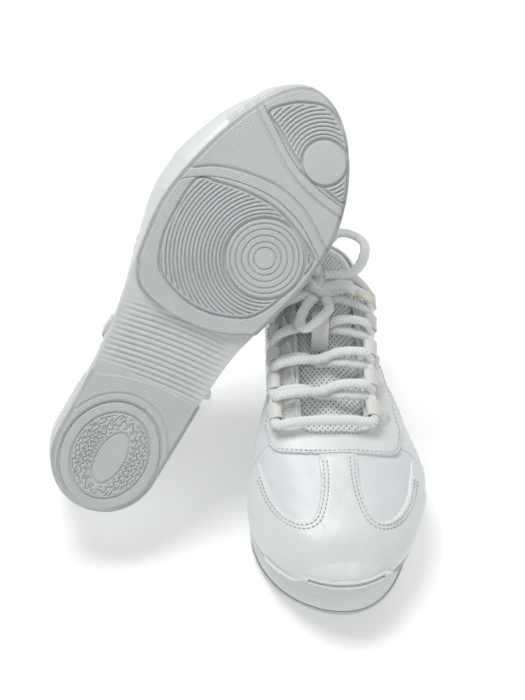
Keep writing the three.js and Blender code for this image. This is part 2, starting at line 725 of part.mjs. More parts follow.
const BOW_STEP = 5 * LACE_RADIUS;
const BOW_GRADE = LACE_RADIUS / 2.2;

// Smooth soft cord through a route.
function bowCord(route) {
  const path = new THREE.CatmullRomCurve3(route, false, 'centripetal');
  const steps = Math.ceil(path.getLength() / BOW_STEP);
  return cordMesh(path.getSpacedPoints(steps), LACE_RADIUS, 8);
}

// Moulded tip that carries on the line of a lace end.
function aglet(route) {
  const [before, last] = route.slice(-2);
  const along = new THREE.Vector3().subVectors(last, before).normalize();
  const start = last.clone().addScaledVector(along, GAP);
  const end = start.clone().addScaledVector(along, AGLET_LENGTH);
  return cordMesh([start, end], AGLET_RADIUS, 8);
}

// Bow of one shoe. The turn takes the frame its routes are given in to the shoe frame.
function bow(routes, turn) {
  const inShoe = (route) => route.map(([x, y, z]) => new THREE.Vector3(x * gradeX, y * gradeY, z * gradeZ)
    .multiplyScalar(BOW_GRADE).applyMatrix4(turn).add(knotPoint()));
  const ends = [inShoe(routes.end_a), inShoe(routes.end_b)];
  return [
    ['bow_loop_a', 'lace', bowCord(inShoe(routes.loop_a))],
    ['bow_loop_b', 'lace', bowCord(inShoe(routes.loop_b))],
    ['lace_end_a', 'lace', bowCord(ends[0])],
    ['lace_end_b', 'lace', bowCord(ends[1])],
    ['aglet_a', 'tip', aglet(ends[0])],
    ['aglet_b', 'tip', aglet(ends[1])],
  ];
}

// ---------------------------------------------------------------- the shoe
const MATERIALS = {
  rubber: { color: 0xe4e6e7, roughness: 0.55 },
  foam: { color: 0xe9ebec, roughness: 0.6 },
  leather: { color: 0xeef0f1, roughness: 0.45 },
  overlay: { color: 0xf2f4f5, roughness: 0.4 },
  lining: { color: 0xe6e9ea, roughness: 0.9 },
  board: { color: 0xd8d2c4, roughness: 0.9 },
  plastic: { color: 0xdfe2e4, roughness: 0.5 },
  mesh: { color: 0xe3e8ea, roughness: 0.85 },
  webbing: { color: 0xe9e4d3, roughness: 0.5 },
  lace: { color: 0xeceeec, roughness: 0.9 },
  tip: { color: 0xcfc5a6, roughness: 0.4 },
};

// Sub-parts of a shoe: name, finish and geometry.
function shoeParts() {
  const outsole = outsoleUnits();
  const rubber = Object.entries(outsole).map(([name, geometry]) => [name, 'rubber', geometry]);
  return [
    ...rubber,
    ['midsole', 'foam', midsole()],
    ['strobel_board', 'board', innerSole(4.5, 9, GAP, BOARD_THICK)],
    ['sockliner', 'lining', innerSole(5.5, 14, 2 * GAP + BOARD_THICK, SOCKLINER_THICK)],
    ['vamp', 'leather', vamp()],
    ['toe_cap', 'overlay', toeCap()],
    ['toe_bumper', 'rubber', toeBumper()],
    ['quarter_medial', 'leather', quarter(MEDIAL)],
    ['quarter_lateral', 'leather', quarter(LATERAL)],
    ['eyestay', 'overlay', eyestay()],
    ['heel_counter', 'overlay', heelCounter()],
    ['heel_stiffener', 'plastic', heelStiffener()],
    ['collar_pad', 'lining', collarPad()],
    ['tongue', 'mesh', tongue()],
    ['tongue_keeper', 'webbing', tongueKeeper()],
    ['lace_loops_medial', 'webbing', laceLoops(MEDIAL)],
    ['lace_loops_lateral', 'webbing', laceLoops(LATERAL)],
    ['lace', 'lace', lace()],
  ];
}

function makeMesh(name, finish, geometry) {
  const mesh = new THREE.Mesh(geometry, new THREE.MeshStandardMaterial(MATERIALS[finish]));
  mesh.name = name;
  return mesh;
}

const PARTS = shoeParts();

function shoe(prefix, bowTurn = new THREE.Matrix4()) {
  const group = new THREE.Group();
  for (const [name, finish, made] of [...PARTS, ...bow(BOWS[prefix], bowTurn)]) {
    const geometry = made.isBufferGeometry ? made : toGeometry(made);
    group.add(makeMesh(`${prefix}_${name}`, finish, geometry));
  }
  return group;
}

// ---------------------------------------------------------------- the pair
const radians = THREE.MathUtils.degToRad;
const STANDING_YAW = 183.2;

// The leaning shoe: compass heading of its toe from +X, rise of its toe, and roll about its length.
const LEANING = { heading: 45.2, rise: 43.6, roll: 137, heel: [-131.2, -173, 41] };

function standingShoe() {
  const group = new THREE.Group();
  const left = shoe('left');
  left.position.set(-HEEL_POD.x * gradeX, -HEEL_POD.y * gradeY, 0);
  group.add(left);
  group.rotation.z = radians(STANDING_YAW);
  return group;
}

// Turn of the leaning shoe, from its own frame to the pair's.
function leaningTurn() {
  const heading = radians(LEANING.heading);
  const rise = radians(LEANING.rise);
  const roll = radians(LEANING.roll);
  const toe = new THREE.Vector3(
    Math.cos(rise) * Math.cos(heading), Math.cos(rise) * Math.sin(heading), Math.sin(rise));
  const level = new THREE.Vector3(-Math.sin(heading), Math.cos(heading), 0);
  const steep = new THREE.Vector3().crossVectors(toe, level);
  const up = new THREE.Vector3()
    .addScaledVector(level, Math.sin(roll)).addScaledVector(steep, Math.cos(roll));
  const across = new THREE.Vector3().crossVectors(toe, up);
  return new THREE.Matrix4().makeBasis(across, toe, up).scale(new THREE.Vector3(-1, 1, 1));
}

function leaningShoe() {
  const turn = leaningTurn();
  const right = shoe('right', turn.clone().invert());
  right.applyMatrix4(turn);
  right.position.set(...LEANING.heel);
  return right;
}

// Every corner of a group's solids, in the pair's frame.
function cornersOf(group) {
  const corners = [];
  group.updateWorldMatrix(true, true);
  group.traverse((mesh) => {
    if (!mesh.isMesh) return;
    const place = mesh.geometry.attributes.position;
    for (let i = 0; i < place.count; i += 1) {
      corners.push(new THREE.Vector3().fromBufferAttribute(place, i).applyMatrix4(mesh.matrixWorld));
    }
  });
  return corners;
}

// Smallest height between two groups, one held well above the other.
function fallHeight(over, under) {
  const box = new THREE.Box3().setFromObject(over).intersect(new THREE.Box3().setFromObject(under)
    .expandByVector(new THREE.Vector3(0, 0, 1e4)));
  const shadow = new THREE.Box3(box.min.clone().setZ(-1e4), box.max.clone().setZ(1e4));
  const ray = new THREE.Raycaster();
  let least = Infinity;
  const look = (corners, target, direction) => {
    for (const corner of corners.filter((c) => shadow.containsPoint(c))) {
      ray.set(corner, direction);
      for (const hit of ray.intersectObject(target, true)) least = Math.min(least, hit.distance);
    }
  };
  look(cornersOf(over), under, new THREE.Vector3(0, 0, -1));
  look(cornersOf(under), over, new THREE.Vector3(0, 0, 1));
  return least;
}

// Lowers a group from a height until it meets the floor or the other group.
function lowerOnto(group, other) {
  const height = 500;
  group.position.z += height;
  const toFloor = new THREE.Box3().setFromObject(group, true).min.z;
  group.position.z -= Math.min(toFloor, fallHeight(group, other) - GAP);
}

const pair = new THREE.Group();
const standing = standingShoe();
const leaning = leaningShoe();
lowerOnto(leaning, standing);
pair.add(standing, leaning);
export default pair;
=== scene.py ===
# A pair of cheer shoes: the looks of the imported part, built around its fixed frame.
#
# Lengths are in millimetres in the shoe's own frame (+X to the inner side of the foot, +Y to the toe,
# +Z up, heel at y = 0, floor at z = 0) until a mesh is placed, and in metres in the row frame after.

import math

import bpy
import numpy as np
from mathutils import Matrix, Vector


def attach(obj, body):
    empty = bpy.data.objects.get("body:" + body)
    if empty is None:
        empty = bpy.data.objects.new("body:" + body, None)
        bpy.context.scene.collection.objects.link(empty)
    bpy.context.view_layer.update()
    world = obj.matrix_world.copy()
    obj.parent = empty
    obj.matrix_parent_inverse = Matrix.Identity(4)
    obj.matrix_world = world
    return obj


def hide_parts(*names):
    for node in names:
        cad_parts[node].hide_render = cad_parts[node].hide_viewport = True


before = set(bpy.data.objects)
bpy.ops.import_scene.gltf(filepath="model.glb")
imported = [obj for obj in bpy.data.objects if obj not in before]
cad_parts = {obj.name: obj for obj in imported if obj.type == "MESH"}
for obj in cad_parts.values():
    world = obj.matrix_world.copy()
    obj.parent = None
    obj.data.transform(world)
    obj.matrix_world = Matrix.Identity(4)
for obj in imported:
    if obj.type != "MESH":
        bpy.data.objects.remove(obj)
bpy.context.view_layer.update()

MM = 0.001
TAU = 2 * math.pi

# ---------------------------------------------------------------- sizes, as in the CAD part
SOLE_LENGTH = 262
GAP = 0.3
OUTSOLE_THICK = 3.6
UPPER_THICK = 1.6
OVERLAY_THICK = 1.3
COLLAR_PAD_THICK = 6
TONGUE_DEPTH = 3.2
TONGUE_THICK = 4.5
LACE_RADIUS = 2.2
SLEEVE_LENGTH = 9
LACE_ROWS = 5
ROW_PITCH = 18.5
FIRST_ROW_Y = 163.5
LOOP_X = 23
THROAT_Y = 176
COLLAR_FRONT_Y = 86
STANDING_YAW = 183.2
POD = (1, 33, 0)
LEANING = {"heading": 45.2, "rise": 43.6, "roll": 137, "heel": (-131.2, -173, 40.8521)}
BALL_DISC = (19, 167.5, 21.2)
TOE_DISC = (21, 229, 12)
HEEL_POD = (1, 33, 26, 29.75)

# ---------------------------------------------------------------- camera
CAMERA = {"elevation": 38, "distance": 1000, "aim": (-30.85, -59.45, 60), "focal_px": 1703.3}
PHOTO_HEIGHT = 700
SENSOR = 36


def make_camera():
    data = bpy.data.cameras.new("camera")
    data.sensor_fit = "VERTICAL"
    data.sensor_height = SENSOR
    data.lens = CAMERA["focal_px"] / PHOTO_HEIGHT * SENSOR
    data.clip_end = 20
    camera = bpy.data.objects.new("camera", data)
    bpy.context.scene.collection.objects.link(camera)
    tilt = math.radians(CAMERA["elevation"])
    back = Vector((0, -math.cos(tilt), math.sin(tilt))) * CAMERA["distance"]
    camera.location = (Vector(CAMERA["aim"]) + back) * MM
    camera.rotation_euler = (math.pi / 2 - tilt, 0, 0)
    bpy.context.scene.camera = camera


make_camera()


# ---------------------------------------------------------------- the two shoes' places
def standing_place():
    turn = Matrix.Rotation(math.radians(STANDING_YAW), 4, "Z")
    return turn @ Matrix.Translation([-c for c in POD])


def leaning_place():
    heading, rise, roll = (math.radians(LEANING[key]) for key in ("heading", "rise", "roll"))
    toe = Vector((math.cos(rise) * math.cos(heading), math.cos(rise) * math.sin(heading),
                  math.sin(rise)))
    level = Vector((-math.sin(heading), math.cos(heading), 0))
    up = level * math.sin(roll) + toe.cross(level) * math.cos(roll)
    across = toe.cross(up)
    turn = Matrix((-across, toe, up)).transposed().to_4x4()
    return Matrix.Translation(LEANING["heel"]) @ turn


PLACES = {"left": np.array(standing_place()), "right": np.array(leaning_place())}


def placed(shoe, points):
    """Points of the shoe frame in millimetres, as row-frame points in metres."""
    place = PLACES[shoe]
    return (np.asarray(points, float) @ place[:3, :3].T + place[:3, 3]) * MM


# ---------------------------------------------------------------- curves of the last
def curve(points):
    """Smooth curve through [station, value] points, held level outside them."""
    stations, values = np.array(points, float).T
    last = len(stations) - 1
    index = np.arange(last + 1)
    before, after = np.maximum(index - 1, 0), np.minimum(index + 1, last)
    slopes = (values[after] - values[before]) / (stations[after] - stations[before])

    def at(station):
        s = np.clip(station, stations[0], stations[-1])
        i = np.clip(np.searchsorted(stations, s, side="right") - 1, 0, last - 1)
        span = stations[i + 1] - stations[i]
        t = (s - stations[i]) / span
        t2, t3 = t * t, t * t * t
        return ((2 * t3 - 3 * t2 + 1) * values[i] + (t3 - 2 * t2 + t) * span * slopes[i]
                + (3 * t2 - 2 * t3) * values[i + 1] + (t3 - t2) * span * slopes[i + 1])
    return at


HEEL_ROUND = 30
medial_base = curve([[0, 29], [30, 30], [60, 30.5], [90, 31], [115, 33.5], [140, 40], [165, 46],
                     [190, 47.5], [225, 47], [262, 45]])
lateral_base = curve([[0, 29], [30, 30], [60, 31], [90, 33], [115, 37.5], [140, 42.5], [165, 45.5],
                      [200, 45.5], [262, 44]])
feather_z = curve([[0, 27], [40, 26], [90, 23], [130, 20], [165, 18], [200, 18.5], [230, 22],
                   [262, 29]])
ridge_z = curve([[0, 118], [30, 118], [60, 114.5], [75, 109.5], [90, 103.5], [105, 97.5], [120, 91],
                 [135, 84.5], [150, 78], [165, 72], [180, 67], [195, 62.5], [210, 57.5],
                 [225, 52.5], [240, 48], [250, 43]])
ridge_x = curve([[0, 0], [60, 1], [95, 2], [120, 4.5], [150, 6.5], [172, 6.5], [195, 4.5],
                 [225, 2], [262, 0]])
collar_z = curve([[0, 80], [20, 75], [40, 66], [56, 64], [72, 74], [86, 90]])
swell_along = curve([[0, 0], [110, 0], [150, 3], [180, 6], [215, 6], [232, 4.8], [250, 2], [262, 0]])


def half_base(y, side):
    return np.where(side > 0, medial_base(y), lateral_base(y))


def plan_round(y, side):
    start = np.where(side > 0, 190, 165)
    power = np.where(side > 0, 1.65, 1.5)
    heel = 1 - np.clip(y / HEEL_ROUND, 0, 1)
    toe = np.clip((y - start) / (SOLE_LENGTH - start), 0, 1)
    return np.sqrt(1 - heel ** 2) * np.sqrt(np.maximum(1 - toe ** power, 0))


def ground(y):
    heel = np.clip(1 - y / 12, 0, 1)
    toe = np.maximum(0, (y - 195) / 67)
    return 3 * heel ** 2 + 14 * toe ** 2


# ---------------------------------------------------------------- surface of the upper
HEEL_CENTRE_Y = 32
UPPER_TIP_Y = SOLE_LENGTH - 2
UPPER_INSET = 1
SECTION_POWER = 3.1
SECTION = {"half": 45, "rise": 52}  # the section whose length measures the way round


def section_table():
    """Shares of the half width at even steps of the way from the ridge down to the feather line."""
    reach = np.sin(np.linspace(0, np.pi / 2, 4000))
    height = np.sqrt(np.maximum(1 - reach ** SECTION_POWER, 0))
    steps = np.hypot(np.diff(reach) * SECTION["half"], np.diff(height) * SECTION["rise"])
    return np.concatenate([[0], np.cumsum(steps)]), reach


SKIN_WAY, SKIN_REACH = section_table()
GIRTH = float(SKIN_WAY[-1])  # skin millimetres from the ridge down to the feather line


def upper_half(y, side, q, depth):
    width = (half_base(y, side) - UPPER_INSET - depth) * plan_round(np.maximum(y, HEEL_ROUND), side)
    swell = np.where(side > 0, 0.4, 1.5) * swell_along(y) * 5.4 * q * (1 - q) ** 1.5
    return width * (1 - q ** 2) ** (1 / SECTION_POWER) + swell


def upper_rise(y, depth):
    drop = np.clip((y - 232) / (SOLE_LENGTH - 232), 0, 1)
    return (ridge_z(y) - feather_z(y) - depth) * np.sqrt(1 - drop ** 2.2)


def upper_point(y, side, q, depth):
    stretch = (UPPER_TIP_Y - depth - HEEL_CENTRE_Y) / (SOLE_LENGTH - HEEL_CENTRE_Y)
    ahead = HEEL_CENTRE_Y + (y - HEEL_CENTRE_Y) * stretch
    x = ridge_x(y) * q * q + side * upper_half(y, side, q, depth)
    z = feather_z(ahead) + GAP + upper_rise(y, depth) * q
    return np.stack(np.broadcast_arrays(x, ahead, z), -1)


def heel_point(sweep, side, q, depth):
    angle = sweep * math.pi / 2
    z = (feather_z(HEEL_CENTRE_Y * (1 - np.cos(angle))) + GAP
         + upper_rise(HEEL_CENTRE_Y, depth) * q)
    lean = 0.0035 * (z - 42) ** 2
    reach = HEEL_CENTRE_Y - UPPER_INSET - lean - depth
    x = side * upper_half(HEEL_CENTRE_Y, side, q, depth) * np.sin(angle)
    return np.stack(np.broadcast_arrays(x, HEEL_CENTRE_Y - reach * np.cos(angle), z), -1)


def skin(s, v, depth):
    """Point of the upper's skin. s runs from -GIRTH at the lateral feather line over the ridge to
    +GIRTH, and v along the shoe from 0 at the back seam. Depth is under the outer skin."""
    s, v, depth = np.broadcast_arrays(np.asarray(s, float), v, depth)
    side = np.where(s < 0, -1, 1)
    reach = np.interp(np.abs(s), SKIN_WAY, SKIN_REACH)
    q = np.sqrt(np.maximum(1 - reach ** SECTION_POWER, 0))
    ahead = upper_point(np.maximum(v, HEEL_CENTRE_Y), side, q, depth)
    behind = heel_point(np.clip(v / HEEL_CENTRE_Y, 0, 1), side, q, depth)
    return np.where((v >= HEEL_CENTRE_Y)[..., None], ahead, behind)


def skin_at_x(x, y):
    """Place (s, v) on the skin of a point seen from above. Past the side it goes under the edge."""
    side = -1 if x < 0 else 1
    way = np.linspace(0, GIRTH, 300)
    reach = np.maximum.accumulate(skin(way * side, y, -OVERLAY_THICK)[:, 0] * side)
    if abs(x) > reach[-1]:
        return side * (GIRTH + 6), y
    return side * float(np.interp(abs(x), reach + way * 1e-6, way)), y


# ---------------------------------------------------------------- mesh building
SMOOTH_ANGLE = 40  # degrees between two faces, above which their edge is sharp


def make_mesh(name, points, faces, material, uv):
    """Mesh object from row-frame points in metres. faces is a list of arrays, each with one face in a
    row. uv is one pair for each point, in centimetres."""
    mesh = bpy.data.meshes.new(name)
    sizes = np.concatenate([np.full(len(block), block.shape[1]) for block in faces])
    loops = np.concatenate([block.ravel() for block in faces]).astype(np.int32)
    starts = np.concatenate([[0], np.cumsum(sizes)[:-1]]).astype(np.int32)
    mesh.vertices.add(len(points))
    mesh.vertices.foreach_set("co", np.asarray(points, np.float32).ravel())
    mesh.loops.add(len(loops))
    mesh.loops.foreach_set("vertex_index", loops)
    mesh.polygons.add(len(sizes))
    mesh.polygons.foreach_set("loop_start", starts)
    mesh.update(calc_edges=True)
    layer = mesh.uv_layers.new(name="UVMap")
    layer.data.foreach_set("uv", np.asarray(uv, np.float32)[loops].ravel())
    mesh.polygons.foreach_set("use_smooth", [True] * len(mesh.polygons))
    mesh.set_sharp_from_angle(angle=math.radians(SMOOTH_ANGLE))
    mesh.materials.append(material)
    obj = bpy.data.objects.new(name, mesh)
    bpy.context.scene.collection.objects.link(obj)
    return obj


class Build:
    """Points, faces and texture places of one piece, gathered from several grids and sweeps."""

    def __init__(self):
        self.points = []
        self.faces = []
        self.uv = []
        self.count = 0

    def add(self, points, faces, uv):
        self.points.append(np.asarray(points, float).reshape(-1, 3))
        self.uv.append(np.asarray(uv, float).reshape(-1, 2))
        self.faces += [np.atleast_2d(block) + self.count for block in faces if len(block)]
        self.count += len(self.points[-1])

    def finish(self, shoe, name, material):
        points = placed(shoe, np.concatenate(self.points))
        faces = self.faces
        if shoe == "right":
            faces = [block[:, ::-1] for block in faces]
        return make_mesh(f"{shoe}_{name}", points, faces, material, np.concatenate(self.uv))


def grid_faces(rows, cols, wrap=False):
    """Quads of a grid of points stored row by row. A wrapped grid joins its last column to its first."""
    i, j = np.meshgrid(np.arange(rows - 1), np.arange(cols if wrap else cols - 1), indexing="ij")
    k = (j + 1) % cols
    quads = np.stack([i * cols + j, i * cols + k, (i + 1) * cols + k, (i + 1) * cols + j], -1)
    return quads.reshape(-1, 4)


def lengths_along(points):
    """Distance of each point of a polyline from its start."""
    return np.concatenate([[0], np.cumsum(np.linalg.norm(np.diff(points, axis=0), axis=1))])


def smooth_loop(points, step=1.5, closed=True):
    """Catmull-Rom curve through points, resampled at about a step."""
    pts = np.asarray(points, float)
    count = len(pts)
    out = []
    for i in range(count if closed else count - 1):
        if closed:
            p = [pts[(i + k) % count] for k in (-1, 0, 1, 2)]
        else:
            p = [pts[max(i - 1, 0)], pts[i], pts[i + 1], pts[min(i + 2, count - 1)]]
        n = max(1, int(np.linalg.norm(p[2] - p[1]) / step))
        for t in np.arange(n) / n:
            out.append(0.5 * (2 * p[1] + (p[2] - p[0]) * t
                              + (2 * p[0] - 5 * p[1] + 4 * p[2] - p[3]) * t ** 2
                              + (3 * p[1] - p[0] - 3 * p[2] + p[3]) * t ** 3))
    if not closed:
        out.append(pts[-1])
    return np.array(out)


def nearest_on_loop(points, loop):
    """For each point, its nearest point on a closed polyline, and the distance, positive inside."""
    pts = points.reshape(-1, 2)
    a, b = loop, np.roll(loop, -1, axis=0)
    best = np.full(len(pts), np.inf)
    near = np.zeros_like(pts)
    inside = np.zeros(len(pts), bool)
    for p, r in zip(a, b):
        d = r - p
        t = np.clip(((pts - p) @ d) / max(d @ d, 1e-12), 0, 1)
        q = p + t[:, None] * d
        gap = np.linalg.norm(pts - q, axis=1)
        closer = gap < best
        best[closer] = gap[closer]
        near[closer] = q[closer]
        crosses = (p[1] > pts[:, 1]) != (r[1] > pts[:, 1])
        if abs(d[1]) > 1e-12:
            at = p[0] + (pts[:, 1] - p[1]) * d[0] / d[1]
            inside ^= crosses & (pts[:, 0] < at)
    signed = np.where(inside, best, -best)
    return near.reshape(points.shape), signed.reshape(points.shape[:-1])


def cells(axes, loop):
    """Grid over a loop, with the points just outside it moved onto it. Gives the grid's places, their
    distances from the edge, which of them are used, and the quads between them."""
    first, second = np.meshgrid(*axes, indexing="ij")
    place = np.stack([first, second], -1)
    near, edge = nearest_on_loop(place, loop)
    rows, cols = edge.shape
    inside = edge > 0
    inside[[0, -1]] = False
    inside[:, [0, -1]] = False
    spread = np.pad(inside, 1)
    around = np.zeros_like(inside)
    for di in (0, 1, 2):
        for dj in (0, 1, 2):
            around |= spread[di:di + rows, dj:dj + cols]
    border = around & ~inside
    outside = border & (edge <= 0)
    place = np.where(outside[..., None], near, place)
    edge = np.where(border, 0, edge)
    used = inside | border
    index = np.full(edge.shape, -1)
    index[used] = np.arange(used.sum())
    quads = np.stack([index[:-1, :-1], index[1:, :-1], index[1:, 1:], index[:-1, 1:]], -1).reshape(-1, 4)
    some = np.stack([inside[:-1, :-1], inside[1:, :-1], inside[1:, 1:], inside[:-1, 1:]], -1)
    quads = quads[(quads >= 0).all(1) & some.reshape(-1, 4).any(1)]
    return place[used], edge[used], border[used], quads


def axis_over(low, high, least, most, step):
    """Even stations over a range and a step past it on each side, kept between two limits."""
    low, high = max(low - step, least), min(high + step, most)
    return np.linspace(low, high, max(3, int(round((high - low) / step)) + 1))


def toe_axis(low, high, step):
    """Stations along the shoe, closer together where the toe closes."""
    low, high = max(low - step, 0), min(high + step, SOLE_LENGTH)
    toe_from = 200
    straight = np.arange(low, min(high, toe_from), step)
    first = math.asin(min(1, max(0, (low - toe_from) / (SOLE_LENGTH - toe_from))))
    last = math.asin(min(1, max(0, (high - toe_from) / (SOLE_LENGTH - toe_from))))
    count = max(2, int((last - first) * 60 / step))
    curved = toe_from + (SOLE_LENGTH - toe_from) * np.sin(np.linspace(first, last, count))
    return np.concatenate([straight, curved]) if high > toe_from else np.append(straight, high)


def ridge_skin(s, v, depth):
    """Skin over the ridge, for pieces ahead of the collar."""
    return skin(s, np.clip(v, 0, SOLE_LENGTH), depth)


def heel_skin(s, w, depth):
    """Skin round the heel, for pieces behind the throat: w is v with the sign of the side, and s is
    the way down from the ridge."""
    return skin(np.where(w < 0, -1, 1) * np.clip(s, 1e-3, GIRTH), np.abs(w), depth)


def patch(build, surface, loop, outer, inner, step=1.0, turn=False):
    """Closed leaf of a surface inside a loop of (s, v) or (s, w) points. outer and inner give the
    depth of its two faces from the distance to its edge and the place."""
    low, high = loop.min(0), loop.max(0)
    if surface is ridge_skin:
        axes = axis_over(low[0], high[0], -GIRTH, GIRTH, step), toe_axis(low[1], high[1], step)
    else:
        axes = (axis_over(low[0], high[0], 0, GIRTH, step),
                axis_over(low[1], high[1], -SOLE_LENGTH, SOLE_LENGTH, step))
    place, edge, border, quads = cells(axes, loop)
    a, b = place.T
    top = surface(a, b, outer(edge, a, b))
    bottom = surface(a, b, inner(edge, a, b))
    if turn:
        quads = quads[:, ::-1]
    lower = np.where(border, np.arange(len(a)), np.arange(len(a)) + len(a))
    build.add(np.concatenate([top, bottom]), [quads, lower[quads[:, ::-1]]],
              np.concatenate([place, place]) / 10)


def round_edge(edge, rim):
    """Share of full thickness at a distance from the edge, round over a rim."""
    r = np.clip(edge / rim, 0, 1)
    return np.sqrt(1 - (1 - r) ** 2)


def sweep(build, path, profile, normals, caps=True, closed=False):
    """Sweeps a closed profile (side, out) along a path with given outward directions. The profile is
    one outline or one for each point of the path."""
    path = np.asarray(path, float)
    count = len(path)
    if closed:
        tangents = np.roll(path, -1, axis=0) - np.roll(path, 1, axis=0)
    else:
        tangents = np.gradient(path, axis=0)
    tangents /= np.maximum(np.linalg.norm(tangents, axis=1, keepdims=True), 1e-9)
    normals = np.broadcast_to(np.asarray(normals, float), path.shape)
    outward = normals - tangents * (normals * tangents).sum(1, keepdims=True)
    outward /= np.maximum(np.linalg.norm(outward, axis=1, keepdims=True), 1e-9)
    sideways = np.cross(tangents, outward)
    profile = np.broadcast_to(np.asarray(profile, float), (count,) + np.shape(profile)[-2:])
    rings = (path[:, None] + sideways[:, None] * profile[..., :1] + outward[:, None] * profile[..., 1:])
    around = profile.shape[1]
    length = lengths_along(path)
    turn = np.arange(around) / around
    uv = np.stack(np.meshgrid(length / 10, turn, indexing="ij"), -1)
    faces = [grid_faces(count, around, wrap=True)]
    ring = np.arange(around)
    last = (count - 1) * around
    if closed:
        following = (ring + 1) % around
        faces.append(np.stack([last + ring, last + following, following, ring], -1))
    elif caps:
        faces += [ring[::-1], last + ring]
    build.add(rings, faces, uv)


def ellipse(half_width, half_height, sides):
    angle = np.arange(sides) / sides * TAU
    return np.stack([half_width * np.cos(angle), half_height * np.sin(angle)], -1)


def resample(points, step):
    """Points at an even step along a polyline. Columns past the third are carried along."""
    pts = np.asarray(points, float)
    length = lengths_along(pts[:, :3])
    at = np.linspace(0, length[-1], max(2, int(length[-1] / step) + 1))
    return np.stack([np.interp(at, length, pts[:, k]) for k in range(pts.shape[1])], -1)


# ---------------------------------------------------------------- materials
class Shader:
    """Principled material with helpers for its texture nodes. Places are in centimetres of UV."""

    def __init__(self, name, colour, roughness, **extra):
        self.material = bpy.data.materials.new(name)
        self.material.use_nodes = True
        self.nodes = self.material.node_tree.nodes
        self.links = self.material.node_tree.links
        self.bsdf = self.nodes["Principled BSDF"]
        self.bsdf.inputs["Base Color"].default_value = (*colour, 1)
        self.bsdf.inputs["Roughness"].default_value = roughness
        self.colour = colour
        for key, value in extra.items():
            self.bsdf.inputs[key.replace("_", " ")].default_value = value
        self.height = None

    def node(self, kind, **settings):
        made = self.nodes.new(kind)
        for key, value in settings.items():
            if key in made.inputs:
                made.inputs[key].default_value = value
            else:
                setattr(made, key, value)
        return made

    def uv(self):
        return self.node("ShaderNodeTexCoord").outputs["UV"]

    def place(self):
        return self.node("ShaderNodeTexCoord").outputs["Object"]

    def noise(self, scale, where, detail=3.0):
        tex = self.node("ShaderNodeTexNoise", Scale=scale, Detail=detail)
        self.links.new(where, tex.inputs["Vector"])
        return tex.outputs["Fac"]

    def voronoi(self, scale, where, randomness=1.0):
        tex = self.node("ShaderNodeTexVoronoi", Scale=scale, Randomness=randomness)
        self.links.new(where, tex.inputs["Vector"])
        return tex.outputs["Distance"]

    def wave(self, scale, where, direction="X", distortion=0.0):
        tex = self.node("ShaderNodeTexWave", Scale=scale, Distortion=distortion,
                        bands_direction=direction)
        self.links.new(where, tex.inputs["Vector"])
        return tex.outputs["Fac"]

    def rotated(self, where, degrees, stretch=(1, 1, 1)):
        turn = self.node("ShaderNodeMapping")
        turn.inputs["Rotation"].default_value = (0, 0, math.radians(degrees))
        turn.inputs["Scale"].default_value = stretch
        self.links.new(where, turn.inputs["Vector"])
        return turn.outputs["Vector"]

    def math(self, operation, a, b):
        made = self.node("ShaderNodeMath", operation=operation)
        self.links.new(a, made.inputs[0])
        self.links.new(b, made.inputs[1])
        return made.outputs[0]

    def crossed(self, operation, scale, where, degrees, stretch=(1, 1, 1), distortion=0.0):
        """Two sets of waves turned to either side and joined."""
        one, two = (self.wave(scale, self.rotated(where, turn, stretch), distortion=distortion)
                    for turn in (degrees, -degrees))
        return self.math(operation, one, two)

    def ramp(self, factor, low, high, colours):
        made = self.node("ShaderNodeValToRGB")
        made.color_ramp.elements[0].position = low
        made.color_ramp.elements[1].position = high
        for element, colour in zip(made.color_ramp.elements, colours):
            element.color = (*colour, 1)
        self.links.new(factor, made.inputs["Fac"])
        return made.outputs["Color"]

    def tint(self, factor, low, high, darkest):
        """Colours the surface from a darker shade of its colour, or another colour, up to its own."""
        if isinstance(darkest, float):
            darkest = tuple(c * darkest for c in self.colour)
        ramp = self.ramp(factor, low, high, (darkest, self.colour))
        self.links.new(ramp, self.bsdf.inputs["Base Color"])

    def roughen(self, factor, low, high):
        span = self.node("ShaderNodeMapRange")
        span.inputs["To Min"].default_value = low
        span.inputs["To Max"].default_value = high
        self.links.new(factor, span.inputs["Value"])
        self.links.new(span.outputs["Result"], self.bsdf.inputs["Roughness"])

    def bump(self, height, distance, strength=0.6):
        made = self.node("ShaderNodeBump", Strength=strength, Distance=distance * MM)
        self.links.new(height, made.inputs["Height"])
        if self.height is not None:
            self.links.new(self.height, made.inputs["Normal"])
        self.height = made.outputs["Normal"]
        self.links.new(self.height, self.bsdf.inputs["Normal"])


def leather_material(name, colour, roughness, grain):
    shader = Shader(name, colour, roughness, Coat_Weight=0.12, Coat_Roughness=0.35)
    uv = shader.uv()
    pores = shader.voronoi(11 * grain, uv)
    clouds = shader.noise(0.8, uv)
    shader.tint(clouds, 0.3, 0.75, 0.965)
    shader.roughen(shader.noise(2.5, uv), roughness - 0.06, roughness + 0.08)
    shader.bump(pores, 0.12, 0.35)
    shader.bump(shader.noise(1.2, uv, 4.0), 0.6, 0.25)
    return shader.material


def rubber_material(name, colour):
    shader = Shader(name, colour, 0.5)
    uv = shader.uv()
    knurl = shader.crossed("MULTIPLY", 2.3, uv, 38)
    clouds = shader.noise(0.35, uv, 5.0)
    shader.tint(clouds, 0.3, 0.72, 0.93)
    shader.roughen(clouds, 0.44, 0.6)
    shader.bump(knurl, 0.3, 0.7)
    return shader.material


def foam_material():
    colour = (0.75, 0.78, 0.785)
    shader = Shader("midsole_foam", colour, 0.55)
    uv = shader.uv()
    clouds = shader.noise(0.5, uv, 5.0)
    shader.tint(clouds, 0.3, 0.7, 0.95)
    shader.bump(shader.crossed("MULTIPLY", 2.6, uv, 45), 0.14, 0.5)
    return shader.material


